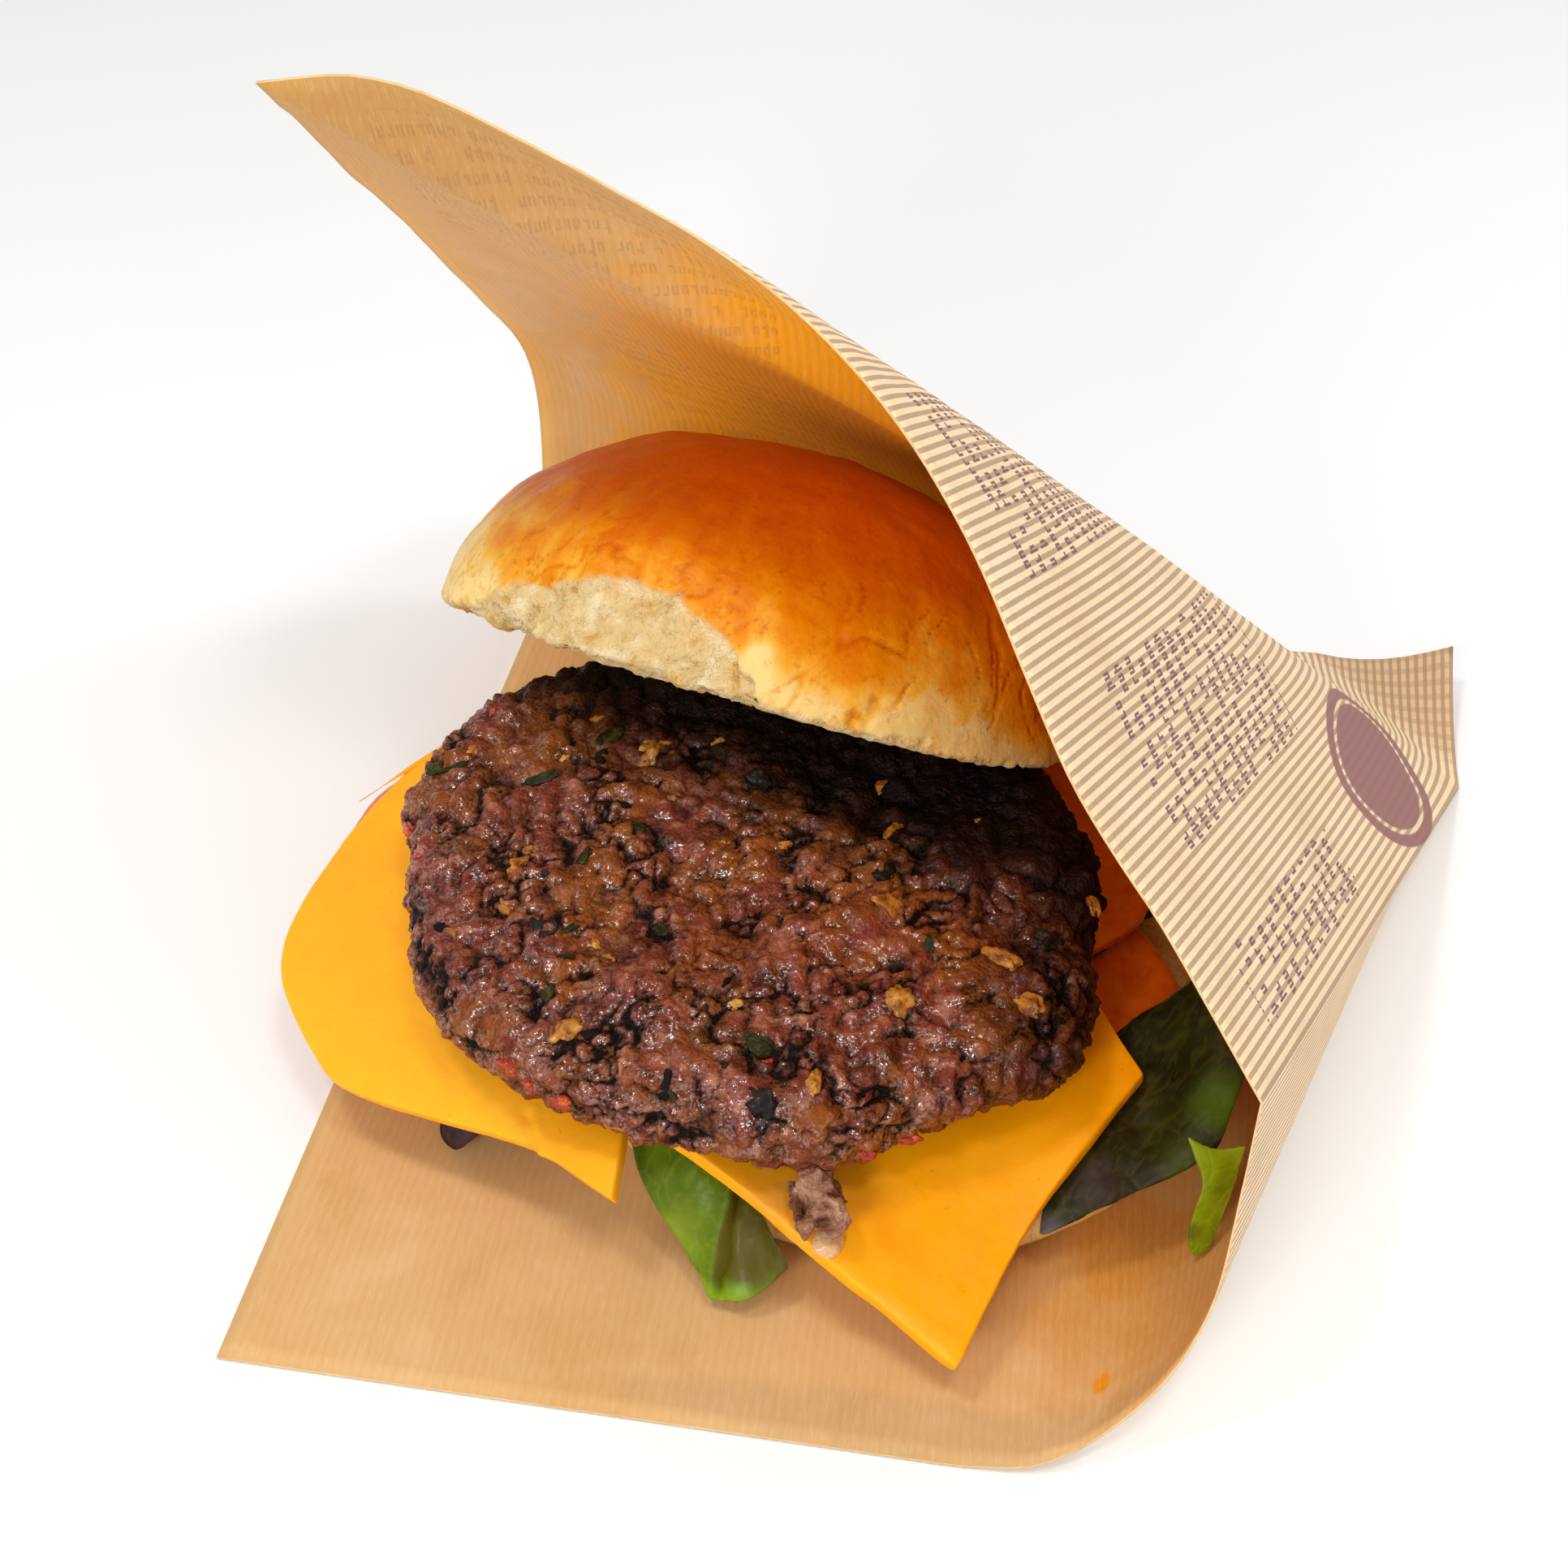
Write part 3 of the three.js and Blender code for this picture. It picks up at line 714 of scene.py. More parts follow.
def relief(piece, rule, masks=()):
    """Moves each vertex along its normal by rule(place, normal) in mm, and stores the rule's masks."""
    layers = [piece.data.attributes.new(name, "FLOAT", "POINT") for name in masks]
    normals = [v.normal.copy() for v in piece.data.vertices]
    for vert, normal in zip(piece.data.vertices, normals):
        height, *values = rule(vert.co / MM, normal)
        for layer, value in zip(layers, values):
            layer.data[vert.index].value = value
        vert.co += normal * height * MM
    for polygon in piece.data.polygons:
        polygon.use_smooth = True
    piece.data.update()


def serve(piece, node, material):
    """Gives a piece its material and puts it in the place of its node."""
    piece.data.materials.clear()
    piece.data.materials.append(material)
    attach(piece, "root")
    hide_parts(node)
    print(piece.name, "faces:", len(piece.data.polygons))


# %% [markdown]
# ## The crown of the bun
# The crown is a soft brioche bun: a thin shiny crust, orange-brown on top and golden towards the
# rim, and a pale crumb where it was torn open low at the front. The torn band is worked out in the
# bun's own frame, before it was leaned back. The crust is peeled up along the band's edge and fine
# creases fan out from it. The crumb is rough with small holes.

# %% The crown's own frame
CROWN_CENTRE = Vector((-5, 16, 46))
CROWN_RADIUS = 55
CROWN_LEAN, CROWN_YAW, CROWN_ROLL = math.radians(30), math.radians(22), math.radians(3)
TO_CROWN = (Matrix.Rotation(-CROWN_YAW, 3, "Z") @ Matrix.Rotation(-CROWN_LEAN, 3, "X")
            @ Matrix.Rotation(CROWN_ROLL, 3, "Y")).inverted()
TORN_FROM, TORN_SPAN, TORN_HEIGHT = 3.85, 1.2, 12.3


def crown_local(place):
    """A place in millimetres, as reach from the axis (0 to 1), angle round it and unbent height."""
    p = TO_CROWN @ (place - CROWN_CENTRE)
    reach = math.hypot(p.x, p.y) / CROWN_RADIUS
    bend = 5 * (1 - (p.x / CROWN_RADIUS) ** 2) * min(reach, 1) ** 2 * (1 if p.y < 0 else 0.2)
    p.z -= bend
    return reach, math.atan2(p.y, p.x) % math.tau, p


def torn_top(angle):
    """How high the torn band reaches above the rim, in millimetres. 0 where there is none."""
    along = (angle - TORN_FROM) / TORN_SPAN
    if not 0 < along < 1:
        return 0
    return 1 + TORN_HEIGHT * arch(along ** 1.76) ** 0.7 + 0.6 * math.sin(14 * angle)


def crown_rule(place, normal):
    """Relief of crust and crumb, with the masks of bare crumb and of how dark the crust is: browned, with
    painted shade in the folds and painted light on the right.
    """
    reach, angle, p = crown_local(place)
    ragged = 1.6 * noise.noise(p / 6) + 1.0 * noise.noise(p / 2.4) + 0.5 * noise.noise(p / 1.2)
    top = torn_top(angle)
    outside = smooth((reach - 0.7) / 0.2)
    above = p.z - top - ragged  # distance above the torn edge
    torn = (1 - smooth(above / 0.9 + 0.5)) * outside if top else 0
    lip = math.exp(-(above / 1.1) ** 2) * outside * smooth(top / 6)  # crust peeled up along the edge
    cut = 0.9 + 1.0 * noise.noise(p / 4) + 0.7 * noise.noise(p / 1.6)
    under = 1 - smooth((p.z - cut) / 0.8)
    crumb = max(torn, under)
    near = math.exp(-max(above, 0) / 7) * smooth(top / 4) if top else 0.12 * math.exp(-p.z / 8)
    fan = Vector((angle * 26 + 0.12 * p.z, p.z / 11, reach * 2))
    creases = 1 - smooth(abs(noise.noise(fan)) / 0.16)
    skin = 0.6 * noise.noise(p / 9) + 0.15 * noise.noise(p / 3.5) - 0.3 * creases * near
    fold = Vector((angle * 8 - 0.1 * p.z + noise.noise(p / 8), p.z / 14, 3))
    folds = (1 - smooth(abs(noise.noise(fold)) / 0.06)) * outside * smooth((34 - p.z) / 10)
    folds *= smooth(0.7 + 2 * noise.noise(p / 12))
    skin -= 0.6 * folds
    holes = noise.noise(p / 3) + 0.7 * noise.noise(p / 1.5)
    open_crumb = 0.8 * holes - 1.1 * smooth((holes - 0.25) / 0.35) + 1.3 * noise.noise(p / 6)
    open_crumb += 0.5 * abs(noise.noise(p / 1.3)) - 0.8 * math.exp(-max(-above, 0) / 1.6)
    jagged = -1.1 * max(noise.noise(p / 2.6), 0) * (1 - smooth((p.z - 1) / 2)) * outside
    # The crust is darkest on top, orange lower down and pale on the rim right of the torn band.
    pale = smooth((angle - 4.9) / 0.2) * smooth((5.95 - angle) / 0.5) * 6
    pale = max(pale, 14 * smooth((4.2 - angle) / 0.35) * smooth((angle - 2.9) / 0.5))
    level = p.z + 2.5 * noise.noise(p / 15) + 2 * noise.noise(p / 6)
    bake_and_shade = 0.5 * smooth((level - 1 - 0.35 * pale) / (8 + 0.5 * pale)) + 0.45 * smooth((level - 15) / 19)
    golden = smooth((above + 1) / 2) * math.exp(-max(above, 0) / 3.5) * smooth(top / 4)
    bake_and_shade += 0.2 * noise.noise(p / 12) + 0.12 * noise.noise(p / 4) - 0.1 * creases * near - 0.25 * golden
    round_it = Vector((math.cos(angle), math.sin(angle), 0.0))
    brushed = noise.noise(round_it * 8 + Vector((0, 0, 2.2 * reach)))
    brushed += 0.7 * noise.noise(round_it * 21 + Vector((0, 0, 4.5 * reach)))
    # Painted shade darkens the crust along the folds; the brushed streaks run round the crown.
    bake_and_shade += 0.14 * folds + 0.16 * brushed * smooth(reach / 0.3)
    # Painted light makes the crust paler on the right. It is also paler on the left.
    bake_and_shade -= 0.06 * smooth((p.x - 8) / 30) + 0.1 * smooth((-p.x - 5) / 35)
    height = skin * (1 - crumb) + open_crumb * torn + 0.5 * lip + 0.35 * holes * under * (1 - torn) + jagged
    return height, crumb, clamped(bake_and_shade)


crown = soft_copy("bun_crown", cell=0.62, smoothing=10)
relief(crown, crown_rule, masks=("crumb", "bake_and_shade"))

# %% Crust and crumb
def bread_material(name):
    """Crust that goes from pale gold to orange-brown, and cream crumb where the mask says so."""
    material, tree, shader = new_material(name, Coat_Roughness=0.35, Specular_IOR_Level=0.1)
    where = here(tree)
    streaks = grain(tree, where, 130, detail=4, roughness=0.75, distortion=1.2)
    bake_and_shade = attribute(tree, "bake_and_shade") + (streaks - 0.5) * 0.5
    crust = ramp(tree, bake_and_shade, [(0.0, (230, 200, 128)), (0.2, (230, 172, 58)),
                               (0.42, (220, 134, 4)), (0.66, (208, 108, 0)),
                               (0.92, (202, 92, 0))])
    freckles = span(tree, grain(tree, where, 420, detail=3, roughness=0.8), 0.52, 0.72)
    crust = mix(tree, freckles * 0.4, crust, (160, 62, 0))
    crumb = mottled(tree, where, 230.0, (196, 150, 76), (218, 190, 134), (236, 216, 176))
    bare = attribute(tree, "crumb")
    color = mix(tree, bare, crust, crumb)
    rough = span(tree, bare, 0.0, 0.5, 0.42, 0.9)
    gloss = span(tree, bare, 0.0, 0.3, 0.08, 0.0)
    torn_depth = span(tree, bare, 0.0, 1.0, 0.12 * MM, 0.9 * MM)
    pitting = grain(tree, where, 900, detail=3, roughness=0.75)
    rough_crumb = bump(tree, pitting, torn_depth, plain_normal(tree))
    fine = pitted(tree, 800.0, 0.1, rough_crumb)
    wear(shader, Base_Color=color, Roughness=rough, Coat_Weight=gloss, Normal=fine)
    return material


serve(crown, "bun_crown", bread_material("brioche"))

# %% [markdown]
# ## The heel of the bun
# Only a pale crescent of the heel shows, at the right of the front cheese slice. It takes the same material,
# with its cut top as bare crumb and its wall as pale crust.

# %% The heel
HEEL_CENTRE = Vector((19, -22, 1))
HEEL_RADIUS, HEEL_HEIGHT = 58, 14
PRESSED_IN = 4  # how far the front wall gives way under the filling


def heel_rule(place, normal):
    """A soft crust wall under a crumb top."""
    p = place - HEEL_CENTRE
    reach = math.hypot(p.x, p.y) / HEEL_RADIUS
    cut = smooth((p.z - HEEL_HEIGHT + 2.5 + noise.noise(p / 5)) / 1.5)
    bake_and_shade = clamped(0.06 - 0.1 * p.z / HEEL_HEIGHT + 0.1 * noise.noise(p / 9))
    height = 0.25 * noise.noise(p / 4) * (1 - cut) + 0.4 * noise.noise(p / 1.6) * cut
    height -= PRESSED_IN * smooth((-p.y - 20) / 25) * (0.35 + 0.65 * smooth((22 - place.x) / 16))
    return height * smooth((p.z - 0.5) / 2) * smooth((reach - 0.5) / 0.2), cut, bake_and_shade


heel = soft_copy("bun_heel", cell=1.2, smoothing=4)
relief(heel, heel_rule, masks=("crumb", "bake_and_shade"))
serve(heel, "bun_heel", bread_material("brioche heel"))

# %% [markdown]
# ## The patty
# Coarse minced short rib, seared and wet with fat. The surface is a mass of small glossy bumps on
# slow undulations, with a few cracks. Noise of several sizes gives that. For the smaller sizes its
# absolute value is taken, which makes round bumps with sharp creases between them, as in mince.

# %% The patty's relief
SWELLS = ((13, 1.0), (6.5, 1.0))  # size and height of plain noise, in millimetres
GRAINS = ((4.4, 2.0), (2.3, 1.1), (1.2, 0.55))  # size and height of round bumps
MINCE_SHIFT = Vector((7.3, 1.9, 4.1))  # keeps noises of different sizes apart
SHADE_AND_CHAR_LINE = (-12, -0.62)  # behind y = a + b x the patty is nearly black: char and painted shadow under the bun
DARK_RIGHT = 20  # from this x on it is painted darker, as shade under the bun


def mince(p, swells, grains):
    """The height of minced meat in millimetres."""
    shift = MINCE_SHIFT
    height = sum(h * noise.noise(p / size + shift * size) for size, h in swells)
    bent = p + 0.8 * Vector((noise.noise(p / 3), noise.noise(p / 3 + shift), noise.noise(p / 3 - shift)))
    return height + sum(h * (abs(noise.noise(bent / size + shift * size)) - 0.22) for size, h in grains)


def crack(p, size, width):
    """1 in the middle of a winding crack, 0 beside it. Cracks come and go."""
    line = abs(noise.noise(p / size))
    present = smooth((noise.noise(p / (1.4 * size) + Vector((5, 5, 5))) - 0.12) / 0.2)
    return (1 - smooth(line / width)) * present


def creases(p, size, width):
    """1 in the narrow creases between round bumps of that size."""
    other = Vector((7, 2, 4))
    bent = p + 0.8 * Vector((noise.noise(p / 3), noise.noise(p / 3 + other), noise.noise(p / 2.6)))
    return 1 - smooth(abs(noise.noise(bent / size + MINCE_SHIFT * size)) / width)


def patty_rule(place, normal):
    """Bumps, cracks, and the masks of painted shade in the creases, of browning, and of char with painted
    shadow under the bun.
    """
    p = Vector(place)
    bumps = mince(p, SWELLS, GRAINS)
    deep = max(crack(p, 8, 0.07), crack(p + Vector((50, 0, 0)), 5, 0.08))
    presence = clamped(0.55 + 1.2 * noise.noise(p / 9 + Vector((1, 9, 2))))
    lines = max(creases(p, GRAINS[0][0], 0.16) * presence, 0.75 * creases(p, GRAINS[1][0], 0.2) * presence)
    # The lump mask is low in creases, cracks and low places: painted shade there.
    high = clamped(0.8 + 0.16 * bumps - 0.6 * lines - 0.5 * deep + 0.3 * noise.noise(p / 5))
    brown = clamped(0.22 + 1.3 * noise.noise(p / 13 + Vector((3, 8, 1))) + 1.1 * noise.noise(p / 4.5))
    # Char with painted shadow under the bun behind the line, and painted shade on the right.
    shade_and_char = smooth((p.y - SHADE_AND_CHAR_LINE[0] - SHADE_AND_CHAR_LINE[1] * p.x + 20 + 5 * noise.noise(p / 7)) / 24)
    shade_and_char = max(shade_and_char, 0.65 * smooth((p.x - DARK_RIGHT + 8 * noise.noise(p / 9)) / 22))
    return bumps - 0.7 * deep - 0.25 * lines, high, brown, shade_and_char


patty = soft_copy("patty", cell=0.52, smoothing=2)
relief(patty, patty_rule, masks=("lump_shading", "brown", "char"))

# %% Seared meat
def meat_material(name, dark, red, pale, brown_color, crease_shade, wet=1.0):
    """Painted shade in the hollows, purple-red bumps, brown patches and nearly black char with painted
    shadow, with a wet coat in many small glints.
    """
    material, tree, shader = new_material(name, Coat_Roughness=0.17, Coat_IOR=1.95, Specular_IOR_Level=0.12)
    where = here(tree)
    lump_shading = attribute(tree, "lump_shading")
    fine = grain(tree, where, 900, detail=3, roughness=0.8)
    reds = mottled(tree, where, 230.0, dark, red, pale)
    base = mix(tree, attribute(tree, "brown") * 0.8, reds, brown_color)
    shade = lump_shading + (fine - 0.5) * 1.2
    # Painted shade in the creases and hollows, from the lump mask.
    color = mix(tree, span(tree, shade, 0.2, 0.9), crease_shade, base)
    fat = span(tree, grain(tree, where, 430, detail=2), 0.6, 0.7)
    color = mix(tree, fat * 0.45, color, (150, 84, 40))
    # Nearly black: char and painted shadow under the bun.
    char = attribute(tree, "char")
    color = mix(tree, char * 0.96, color, (8, 2, 1))
    puddles = span(tree, grain(tree, where, 260, detail=3, roughness=0.7), 0.36, 0.54, 0.0, wet)
    specks = span(tree, grain(tree, where, 1700, detail=2), 0.44, 0.54, 0.0, 1.0)
    glints = puddles * specks
    glints = glints * span(tree, lump_shading, 0.25, 0.7)
    gloss = glints * (1.0 - char)
    rough = span(tree, fine, 0.3, 0.7, 0.65, 0.4)
    grit = pitted(tree, 1500.0, 0.5)
    film = bump(tree, grain(tree, where, 900, detail=2), 0.3 * MM, plain_normal(tree))
    wear(shader, Base_Color=color, Roughness=rough, Coat_Weight=gloss, Normal=grit, Coat_Normal=film)
    return material


seared = meat_material("seared mince", (64, 20, 12), (122, 54, 38), (176, 112, 88), (142, 76, 18), (14, 2, 1))
serve(patty, "patty", seared)

# %% [markdown]
# ## Bits in the meat
# Onion, pepper, herbs and red pepper are mixed into the mince. Each bit is a rough small ball, pulled
# flat and long, and sunk in the surface where the photograph shows one. A ray from the camera
# through its pixel finds the place, so the bits sit in the meat that carries them.

# %% Rays from the camera
def pixel_ray(x, y):
    """The start and direction of the camera's ray through a pixel of the photograph."""
    direction = Vector((x - FRAME_PIXELS / 2, FRAME_PIXELS / 2 - y, -FOCAL_PIXELS)).normalized()
    return camera.location.copy(), camera.rotation_euler.to_quaternion() @ direction


def surface_of(piece):
    """The piece's surface as a tree that rays can hit."""
    faces = [list(polygon.vertices) for polygon in piece.data.polygons]
    return BVHTree.FromPolygons([v.co for v in piece.data.vertices], faces)


def rough_bit(bm, centre, normal, size, turn, sink, bumps, rng):
    """Adds one bit: size is length, width and thickness in mm, turn is an angle in the surface."""
    side = Vector((math.cos(turn), math.sin(turn), 0))
    across = normal.cross(side).normalized()
    frame_of_bit = Matrix((across.cross(normal), across, normal)).transposed().to_4x4()
    frame_of_bit.translation = centre - normal * sink * size[2] * MM
    scale = Matrix.Diagonal((size[0] / 2 * MM, size[1] / 2 * MM, size[2] / 2 * MM, 1))
    made = bmesh.ops.create_icosphere(bm, subdivisions=4, radius=1)["verts"]
    seed = Vector((rng.uniform(0, 99), rng.uniform(0, 99), rng.uniform(0, 99)))
    for vert in made:
        dent = bumps * (noise.noise(vert.co * 1.3 + seed) + 0.5 * noise.noise(vert.co * 3.5 + seed))
        vert.co *= 1 + dent
        vert.co = frame_of_bit @ scale @ vert.co


def scatter(name, carrier, bits, thickness, sink, bumps, material):
    """All bits of one kind as one piece. A bit is its pixel's x and y, length, width, turn in degrees."""
    surface = surface_of(carrier)
    rng = random.Random(name)
    bm = bmesh.new()
    for x, y, length, width, turn in bits:
        centre, normal, _, _ = surface.ray_cast(*pixel_ray(x, y))
        if centre is None:
            print(name, "misses at", x, y)
            continue
        size = (length, width, min(thickness, width))
        rough_bit(bm, centre, normal, size, math.radians(turn), sink, bumps, rng)
    piece = new_piece(name, bm)
    for polygon in piece.data.polygons:
        polygon.use_smooth = True
    piece.data.materials.append(material)
    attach(piece, "root")
    print(name, "bits:", len(bits))
    return piece


# %% The bits' materials
def bit_material(name, low, middle, high, gloss, rough=0.4):
    """Mottled and slightly wet."""
    material, tree, shader = new_material(name, Coat_Weight=gloss, Coat_Roughness=0.2, Roughness=rough,
                                          Specular_IOR_Level=0.15)
    where = here(tree)
    body = mottled(tree, where, 450.0, low, middle, high)
    grit = pitted(tree, 1400.0, 0.15)
    wear(shader, Base_Color=body, Normal=grit)
    return material


BIT_LOOKS = {
    "onion": bit_material("onion", (104, 52, 16), (168, 106, 34), (210, 158, 70), 0.4),
    "peppercorn": bit_material("peppercorn", (12, 8, 6), (26, 18, 14), (46, 36, 30), 0.1),
    "herb": bit_material("herb", (22, 22, 4), (40, 38, 8), (78, 72, 22), 0.0),
    "red_pepper": bit_material("red pepper", (100, 14, 2), (162, 38, 6), (206, 92, 20), 0.7, 0.25),
    # Near black, for char and for painted shade in gaps.
    "char": bit_material("char", (8, 5, 4), (14, 8, 6), (26, 14, 10), 0.0, 0.7),
}

# %% Where the bits lie in the photograph: pixel, length, width, turn
BITS = {
    "onion": [
        (584, 926, 5, 2.2, 70), (795, 940, 6, 2.6, 60), (812, 918, 6, 2.2, 15), (640, 1062, 5.5, 3, 60),
        (660, 1046, 4, 2, 20), (1105, 1112, 7, 4.5, 10), (1112, 1232, 4.2, 3.8, 90), (702, 1272, 5, 3.6, 40),
        (1238, 1180, 6, 3.2, -30), (1260, 1236, 6, 3.2, -35), (1345, 1118, 3.4, 2.2, 90),
        (732, 1160, 4.6, 1.4, -60), (748, 1178, 3, 1.2, -40), (883, 915, 3.2, 1.8, 20),
        (1098, 1022, 4.4, 1.8, 50), (1082, 970, 3.4, 2.6, 20), (831, 984, 2.3, 2.1, 0),
        (1004, 1328, 5.2, 2.2, 80), (735, 885, 2.4, 1.4, 0), (876, 1424, 2.6, 2, 90),
        (693, 935, 2.4, 1.4, 30), (618, 1118, 3.2, 1.6, -60), (905, 1240, 2.6, 1.6, 20),
        (1205, 1010, 3, 1.8, 40), (965, 1040, 2.8, 1.4, 10), (560, 1150, 2.4, 1.2, 80)],
    "peppercorn": [
        (936, 966, 4.8, 4.4, 0), (1290, 1156, 5, 4.4, 20), (664, 1144, 5.4, 4.2, -20),
        (1098, 1078, 5, 4.2, 0), (930, 1362, 6, 4.6, 30), (845, 1000, 1.2, 1, 0), (975, 1314, 1.6, 1.3, 0),
        (892, 1312, 1.6, 1.2, 0), (1035, 985, 1.2, 1, 0), (670, 1078, 2, 1.6, 0), (812, 1242, 1.4, 1.2, 0)],
    "herb": [
        (752, 908, 5, 2.4, 50), (738, 930, 3.6, 2, 20), (668, 958, 6, 1.8, 15), (556, 945, 6, 2.6, 5),
        (535, 946, 3.4, 2.6, 60), (1146, 1168, 4, 2.6, 60), (672, 1228, 4.2, 1.8, 40),
        (790, 1022, 3.2, 1.6, -30), (940, 1290, 6, 2.4, -40), (816, 1146, 3.2, 1.4, -50),
        (720, 1055, 3.4, 1.6, 60), (690, 1178, 5, 1.4, -30), (830, 1352, 3, 1.4, 80),
        (700, 1145, 3, 1.2, 20)],
    "red_pepper": [
        (626, 1316, 4.4, 3.4, 10), (652, 1334, 2.6, 2.2, 0), (692, 1358, 4.6, 2.8, 25),
        (944, 1308, 2.2, 1.5, 20), (1070, 1422, 3.4, 2, 30), (1120, 1406, 4, 1.6, 10),
        (505, 1028, 5, 3.6, 50), (514, 1056, 2.6, 2, 0), (608, 876, 3, 2, 30)],
    # Black bits of char; some stand in for the dark gaps beside onion bits, as painted shade.
    "char": [
        (727, 1274, 2.6, 2, 0), (820, 1336, 4.6, 1.4, 80), (770, 993, 3, 1, -20), (542, 1142, 2.4, 1.4, 0),
        (738, 936, 2, 1.4, 0), (895, 1210, 2.6, 0.8, 60)],
}
for kind, bits in BITS.items():
    thin = 1.0 if kind in ("char", "herb") else 2.4
    scatter(kind + "_bits", patty, bits, thickness=thin, sink=0.32 if thin > 1 else 0.15, bumps=0.5,
            material=BIT_LOOKS[kind])

# %% [markdown]
# ## The cheese
# Two slices of processed cheese, soft from the heat. A slice is a clean sheet, so it keeps its own quads: the
# rim gets a small bevel and two subdivisions round it off. The colour is a strong yellow-orange, with a
# painted sheen that makes it a little paler to the left.

# %% Slices
def slice_copy(node, bevel_width, levels):
    """A sheet's solid with a small round along its rim, subdivided."""
    bm = merged_copy(node)
    bmesh.ops.recalc_face_normals(bm, faces=bm.faces)
    sharp = [e for e in bm.edges if len(e.link_faces) == 2 and e.calc_face_angle() > math.radians(50)]
    if bevel_width:
        bmesh.ops.bevel(bm, geom=sharp, offset=bevel_width * MM, affect="EDGES", segments=2, profile=0.5,
                        material=-1)
    piece = new_piece(node + "_dressed", bm)
    rounding = piece.modifiers.new("rounding", "SUBSURF")
    rounding.levels = rounding.render_levels = levels
    apply_modifiers(piece)
    return piece


TEAR = ((-36.8, -69.5, 18.6), (-38.6, -62.5, 21.3))  # a small tear in the left slice, from its rim inwards
SCUFF = (1.5, -79, 21)  # where the fallen crumb has rubbed the right slice


def to_line(p, a, b):
    """Distance from a line between two points, and the signed side of it seen from above."""
    a, b = Vector(a), Vector(b)
    share = clamped((p - a).dot(b - a) / (b - a).length_squared)
    side = (b - a).x * (p - a).y - (b - a).y * (p - a).x
    return (p - a.lerp(b, share)).length, side


def cheese_rule(place, normal):
    """Slow dents of a soft slice, a tear, and the masks of a painted sheen, paler to the left, and of scuffed
    places.
    """
    p = Vector(place)
    # Painted sheen: paler to the left.
    pale = clamped(0.3 - 0.012 * p.x + 0.5 * noise.noise(p / 22))
    dents = 0.4 * noise.noise(p / 14) + 0.1 * noise.noise(p / 4) + 0.05 * noise.noise(p / 1.6)
    distance, side = to_line(p, *TEAR)
    step = math.exp(-(distance / 1.3) ** 2) * (-0.8 if side > 0 else 0.45)
    scuff = math.exp(-((p - Vector(SCUFF)).length / 6) ** 2) * clamped(0.6 + noise.noise(p / 2.5))
    return dents + step - 0.35 * scuff * noise.noise(p / 1.3), pale, scuff


def cheese_material():
    """Yellow-orange with a paler painted sheen and faint smears of fat."""
    material, tree, shader = new_material("cheese", Specular_IOR_Level=0.2)
    where = here(tree)
    body = mottled(tree, where, 55.0, (249, 156, 0), (254, 167, 0), (255, 176, 4))
    color = mix(tree, attribute(tree, "pale") * 0.5, body, (255, 184, 44))
    color = mix(tree, attribute(tree, "scuff") * 0.6, color, (240, 170, 88))
    specks = span(tree, grain(tree, where, 900, detail=1), 0.74, 0.77)
    color = mix(tree, specks * 0.35, color, (206, 110, 10))
    smear = span(tree, grain(tree, where, 120, detail=4), 0.4, 0.7, 0.44, 0.3)
    fine = pitted(tree, 500.0, 0.05)
    wear(shader, Base_Color=color, Roughness=smear, Normal=fine)
    return material


cheese = cheese_material()
slices = {}
for node in ("cheese_left", "cheese_right"):
    slices[node] = slice_copy(node, 0.7, 3)
    relief(slices[node], cheese_rule, masks=("pale", "scuff"))
    serve(slices[node], node, cheese)

# %% [markdown]
# ## The salad
# A leaf is a thin blistered sheet with a pale midrib and side veins. The solids are already thin
# wavy sheets, so each is only subdivided, and noise blisters it between the veins.

# %% Leaves
def leaf_rule(place, normal):
    """Fine blisters, and the mask of the veins between them."""
    p = Vector(place)
    bent = p + Vector((3, 2, 3)) * noise.noise(p / 7) + Vector((1, 1, 1)) * noise.noise(p / 2.5)
    nearest, second = noise.voronoi(bent / 3.6)[0][:2]
    vein = 1 - smooth((second - nearest) / 0.14)
    return 0.55 * noise.noise(p / 8) + 0.18 * noise.noise(p / 3) - 0.07 * vein, vein


FOLD = ((-11, -83), (-6.5, -66))  # the front leaf is folded back along this line, seen from above


def front_leaf_rule(place, normal):
    """The leaf's right part is a flap, folded back along a line: dark above, bright at its low end."""
    p = Vector(place)
    height, vein = leaf_rule(place, normal)
    (x, y), (far_x, far_y) = FOLD
    side = p.x - x - (far_x - x) / (far_y - y) * (p.y - y) + 0.5 * noise.noise(p / 4)
    ridge = 1.1 * math.exp(-(side / 1.3) ** 2) - 1.0 * smooth(side / 3)
    low = smooth((6.5 - p.z + 1.5 * noise.noise(p / 3)) / 3)
    shade = smooth(side / 0.8 + 0.5) * (1 - low) * smooth((22 - p.z) / 5)
    crinkle = 0.5 * noise.noise(Vector((p.x / 2, p.y / 5, p.z / 5))) * (0.4 + low)
    return height + ridge * smooth((p.z - 2.5) / 2) + crinkle, vein, shade, low


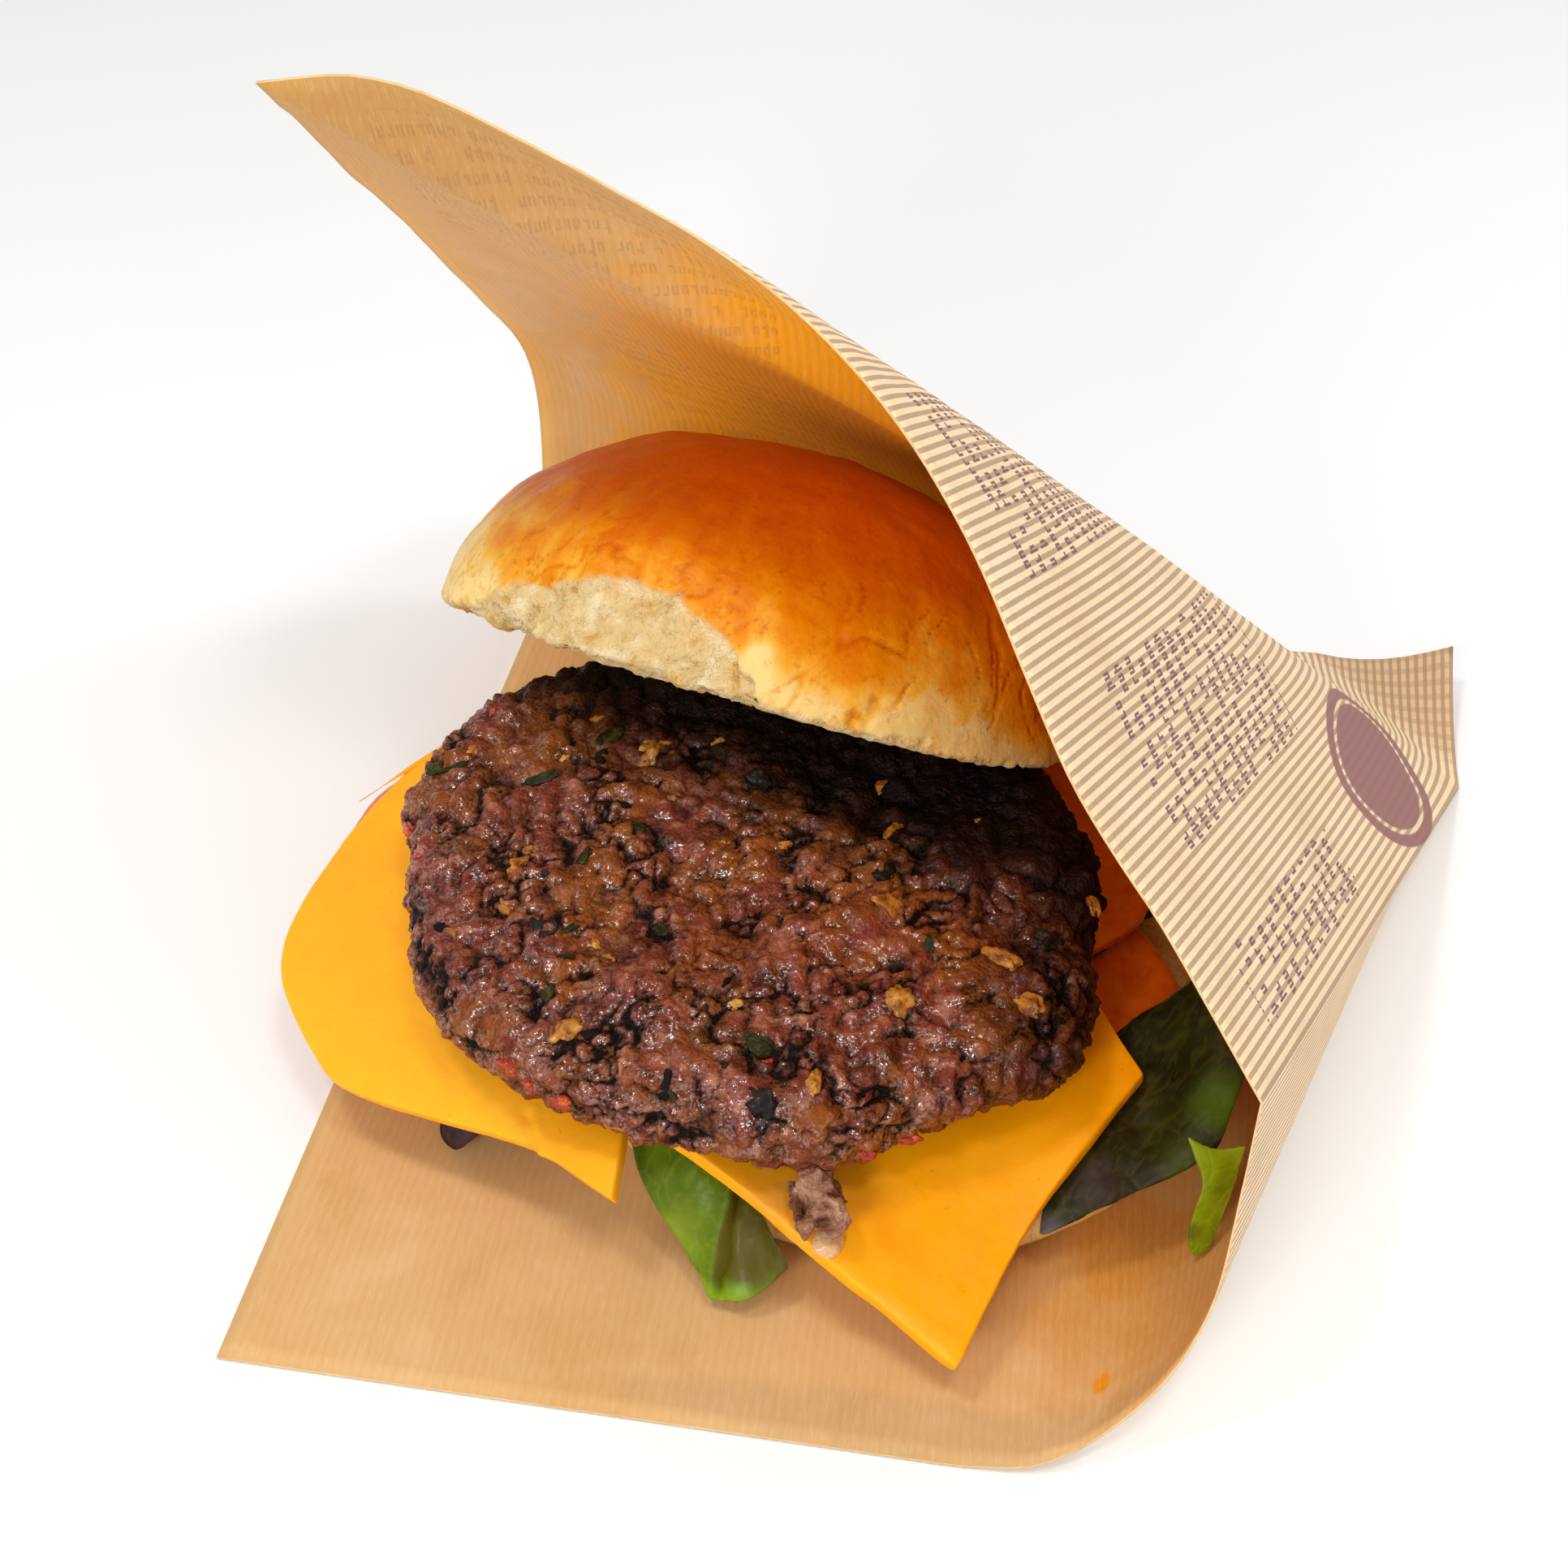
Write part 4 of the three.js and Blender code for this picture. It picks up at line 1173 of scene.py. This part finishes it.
def leaf_material(name, dark, green, bright, vein_color, gloss, tip=None):
    """Two greens mottled over each other, with faint paler veins. A tip is a place and a colour."""
    material, tree, shader = new_material(name, Coat_Roughness=0.2, Coat_Weight=gloss, Roughness=0.45,
                                          Specular_IOR_Level=0.2)
    where = here(tree)
    body = mottled(tree, where, 70.0, dark, green, bright)
    color = mix(tree, attribute(tree, "vein") * 0.22, body, vein_color)
    color = mix(tree, attribute(tree, "shaded") * 0.85, color, (84, 72, 8))
    color = mix(tree, attribute(tree, "lit") * 0.7, color, (132, 172, 24))
    for centre, reach, shade in tip or ():
        away = add(tree, "VectorMath", {0: where, 1: [c * MM for c in centre]}, operation="DISTANCE")
        rag = grain(tree, where, 260, detail=3) * (0.6 * reach * MM)
        far = Value(away["Value"]) + rag
        color = mix(tree, span(tree, far, 0.4 * reach * MM, 1.6 * reach * MM, 0.85, 0.0), color, shade)
    fine = pitted(tree, 600.0, 0.08)
    wear(shader, Base_Color=color, Normal=fine)
    return material


# Patches of another colour: where on the leaf in millimetres, how large, and the colour.
FRONT_PATCHES = [((-14, -72, 10), 5, (118, 130, 24)), ((-24, -60, 17), 7, (84, 140, 24))]
# The first dark patch is a painted highlight at the dark leaf's tip.
DARK_PATCHES = [((39, -77.5, 11.5), 3.5, (92, 86, 92)), ((66, -64, 26), 6, (74, 100, 12)),
                ((60, -70, 20), 4, (66, 74, 10)), ((47, -72, 17), 5, (50, 34, 30))]
LIGHT_PATCHES = [((61, -77, 12), 2.2, (96, 90, 0)), ((64, -74, 19), 1.8, (90, 84, 0))]
fresh = leaf_material("fresh leaf", (54, 82, 4), (86, 112, 6), (120, 146, 14),
                      (146, 168, 44), 0.05, FRONT_PATCHES)
dark_leaf = leaf_material("dark leaf", (20, 16, 2), (36, 34, 3), (54, 56, 6),
                          (104, 92, 30), 0.0, DARK_PATCHES)
light_leaf = leaf_material("light leaf", (104, 128, 2), (128, 150, 4), (150, 170, 20),
                           (170, 184, 50), 0.2, LIGHT_PATCHES)
purple_leaf = leaf_material("purple leaf", (30, 18, 24), (52, 30, 38), (76, 48, 54), (96, 66, 70), 0.2)
LEAVES = {
    "lettuce_front": ("lettuce", fresh),
    "lettuce_right_dark": ("dark_lettuce", dark_leaf),
    "lettuce_right_light": ("lettuce", light_leaf),
    "lettuce_right_inner": ("dark_lettuce", dark_leaf),
    "lettuce_left_tip": ("dark_lettuce", purple_leaf),
}
for node, (slot, look) in LEAVES.items():
    leaf = slice_copy(node, 0, 3)
    rule = front_leaf_rule if node == "lettuce_front" else leaf_rule
    relief(leaf, rule, masks=("vein", "shaded", "lit"))
    serve(leaf, node, look)

# %% [markdown]
# ## The tomato
# Wet red-orange flesh with a deeper red skin round the edge.

# %% Tomato slices
def tomato_rule(place, normal):
    """Slightly uneven wet flesh."""
    p = Vector(place)
    return 0.2 * noise.noise(p / 6) + 0.1 * noise.noise(p / 2), 1 - abs(normal.z)


def tomato_material():
    """Flesh with paler seeds' gel, and a deeper skin where the face turns outwards."""
    material, tree, shader = new_material("tomato", Coat_Weight=0.6, Coat_Roughness=0.15, Roughness=0.35)
    where = here(tree)
    flesh = mottled(tree, where, 140.0, (206, 74, 4), (222, 100, 8), (236, 136, 24))
    color = mix(tree, span(tree, attribute(tree, "skin"), 0.5, 0.9), flesh, (190, 46, 4))
    fine = pitted(tree, 600.0, 0.1)
    wear(shader, Base_Color=color, Normal=fine)
    return material


tomato = tomato_material()
for node in ("tomato_left", "tomato_right_back", "tomato_right_front"):
    slice_piece = soft_copy(node, cell=0.9, smoothing=3)
    relief(slice_piece, tomato_rule, masks=("skin",))
    serve(slice_piece, node, tomato)

# %% [markdown]
# ## The crumb of meat
# A lump of mince has dropped on the front cheese. It is greyer than the seared patty.

# %% Meat crumb
def crumb_rule(place, normal):
    """Small lumps, more uneven than the patty's for its size."""
    p = Vector(place)
    lumps = mince(p, ((5, 2.0), (2.6, 1.5)), ((1.9, 1.8), (1.0, 0.8)))
    # The second value is low in the low places, for painted shade; the crumb has no char.
    return lumps, clamped(0.6 + 0.4 * lumps), clamped(0.4 + noise.noise(p / 4)), 0


crumb = soft_copy("meat_crumb", cell=0.3, smoothing=3)
relief(crumb, crumb_rule, masks=("lump_shading", "brown", "char"))
serve(crumb, "meat_crumb", meat_material(
    "grey mince", (118, 80, 62), (162, 116, 92), (200, 158, 132), (150, 100, 66),
    (96, 56, 38), 0.5))
pale_onion = bit_material("pale onion", (214, 160, 104), (228, 180, 130), (240, 202, 160), 0.6, 0.3)
scatter("fallen_onion", slices["cheese_right"], [(1022, 1530, 5.6, 4.6, 70)], 3.0, 0.0, 0.15,
        pale_onion)
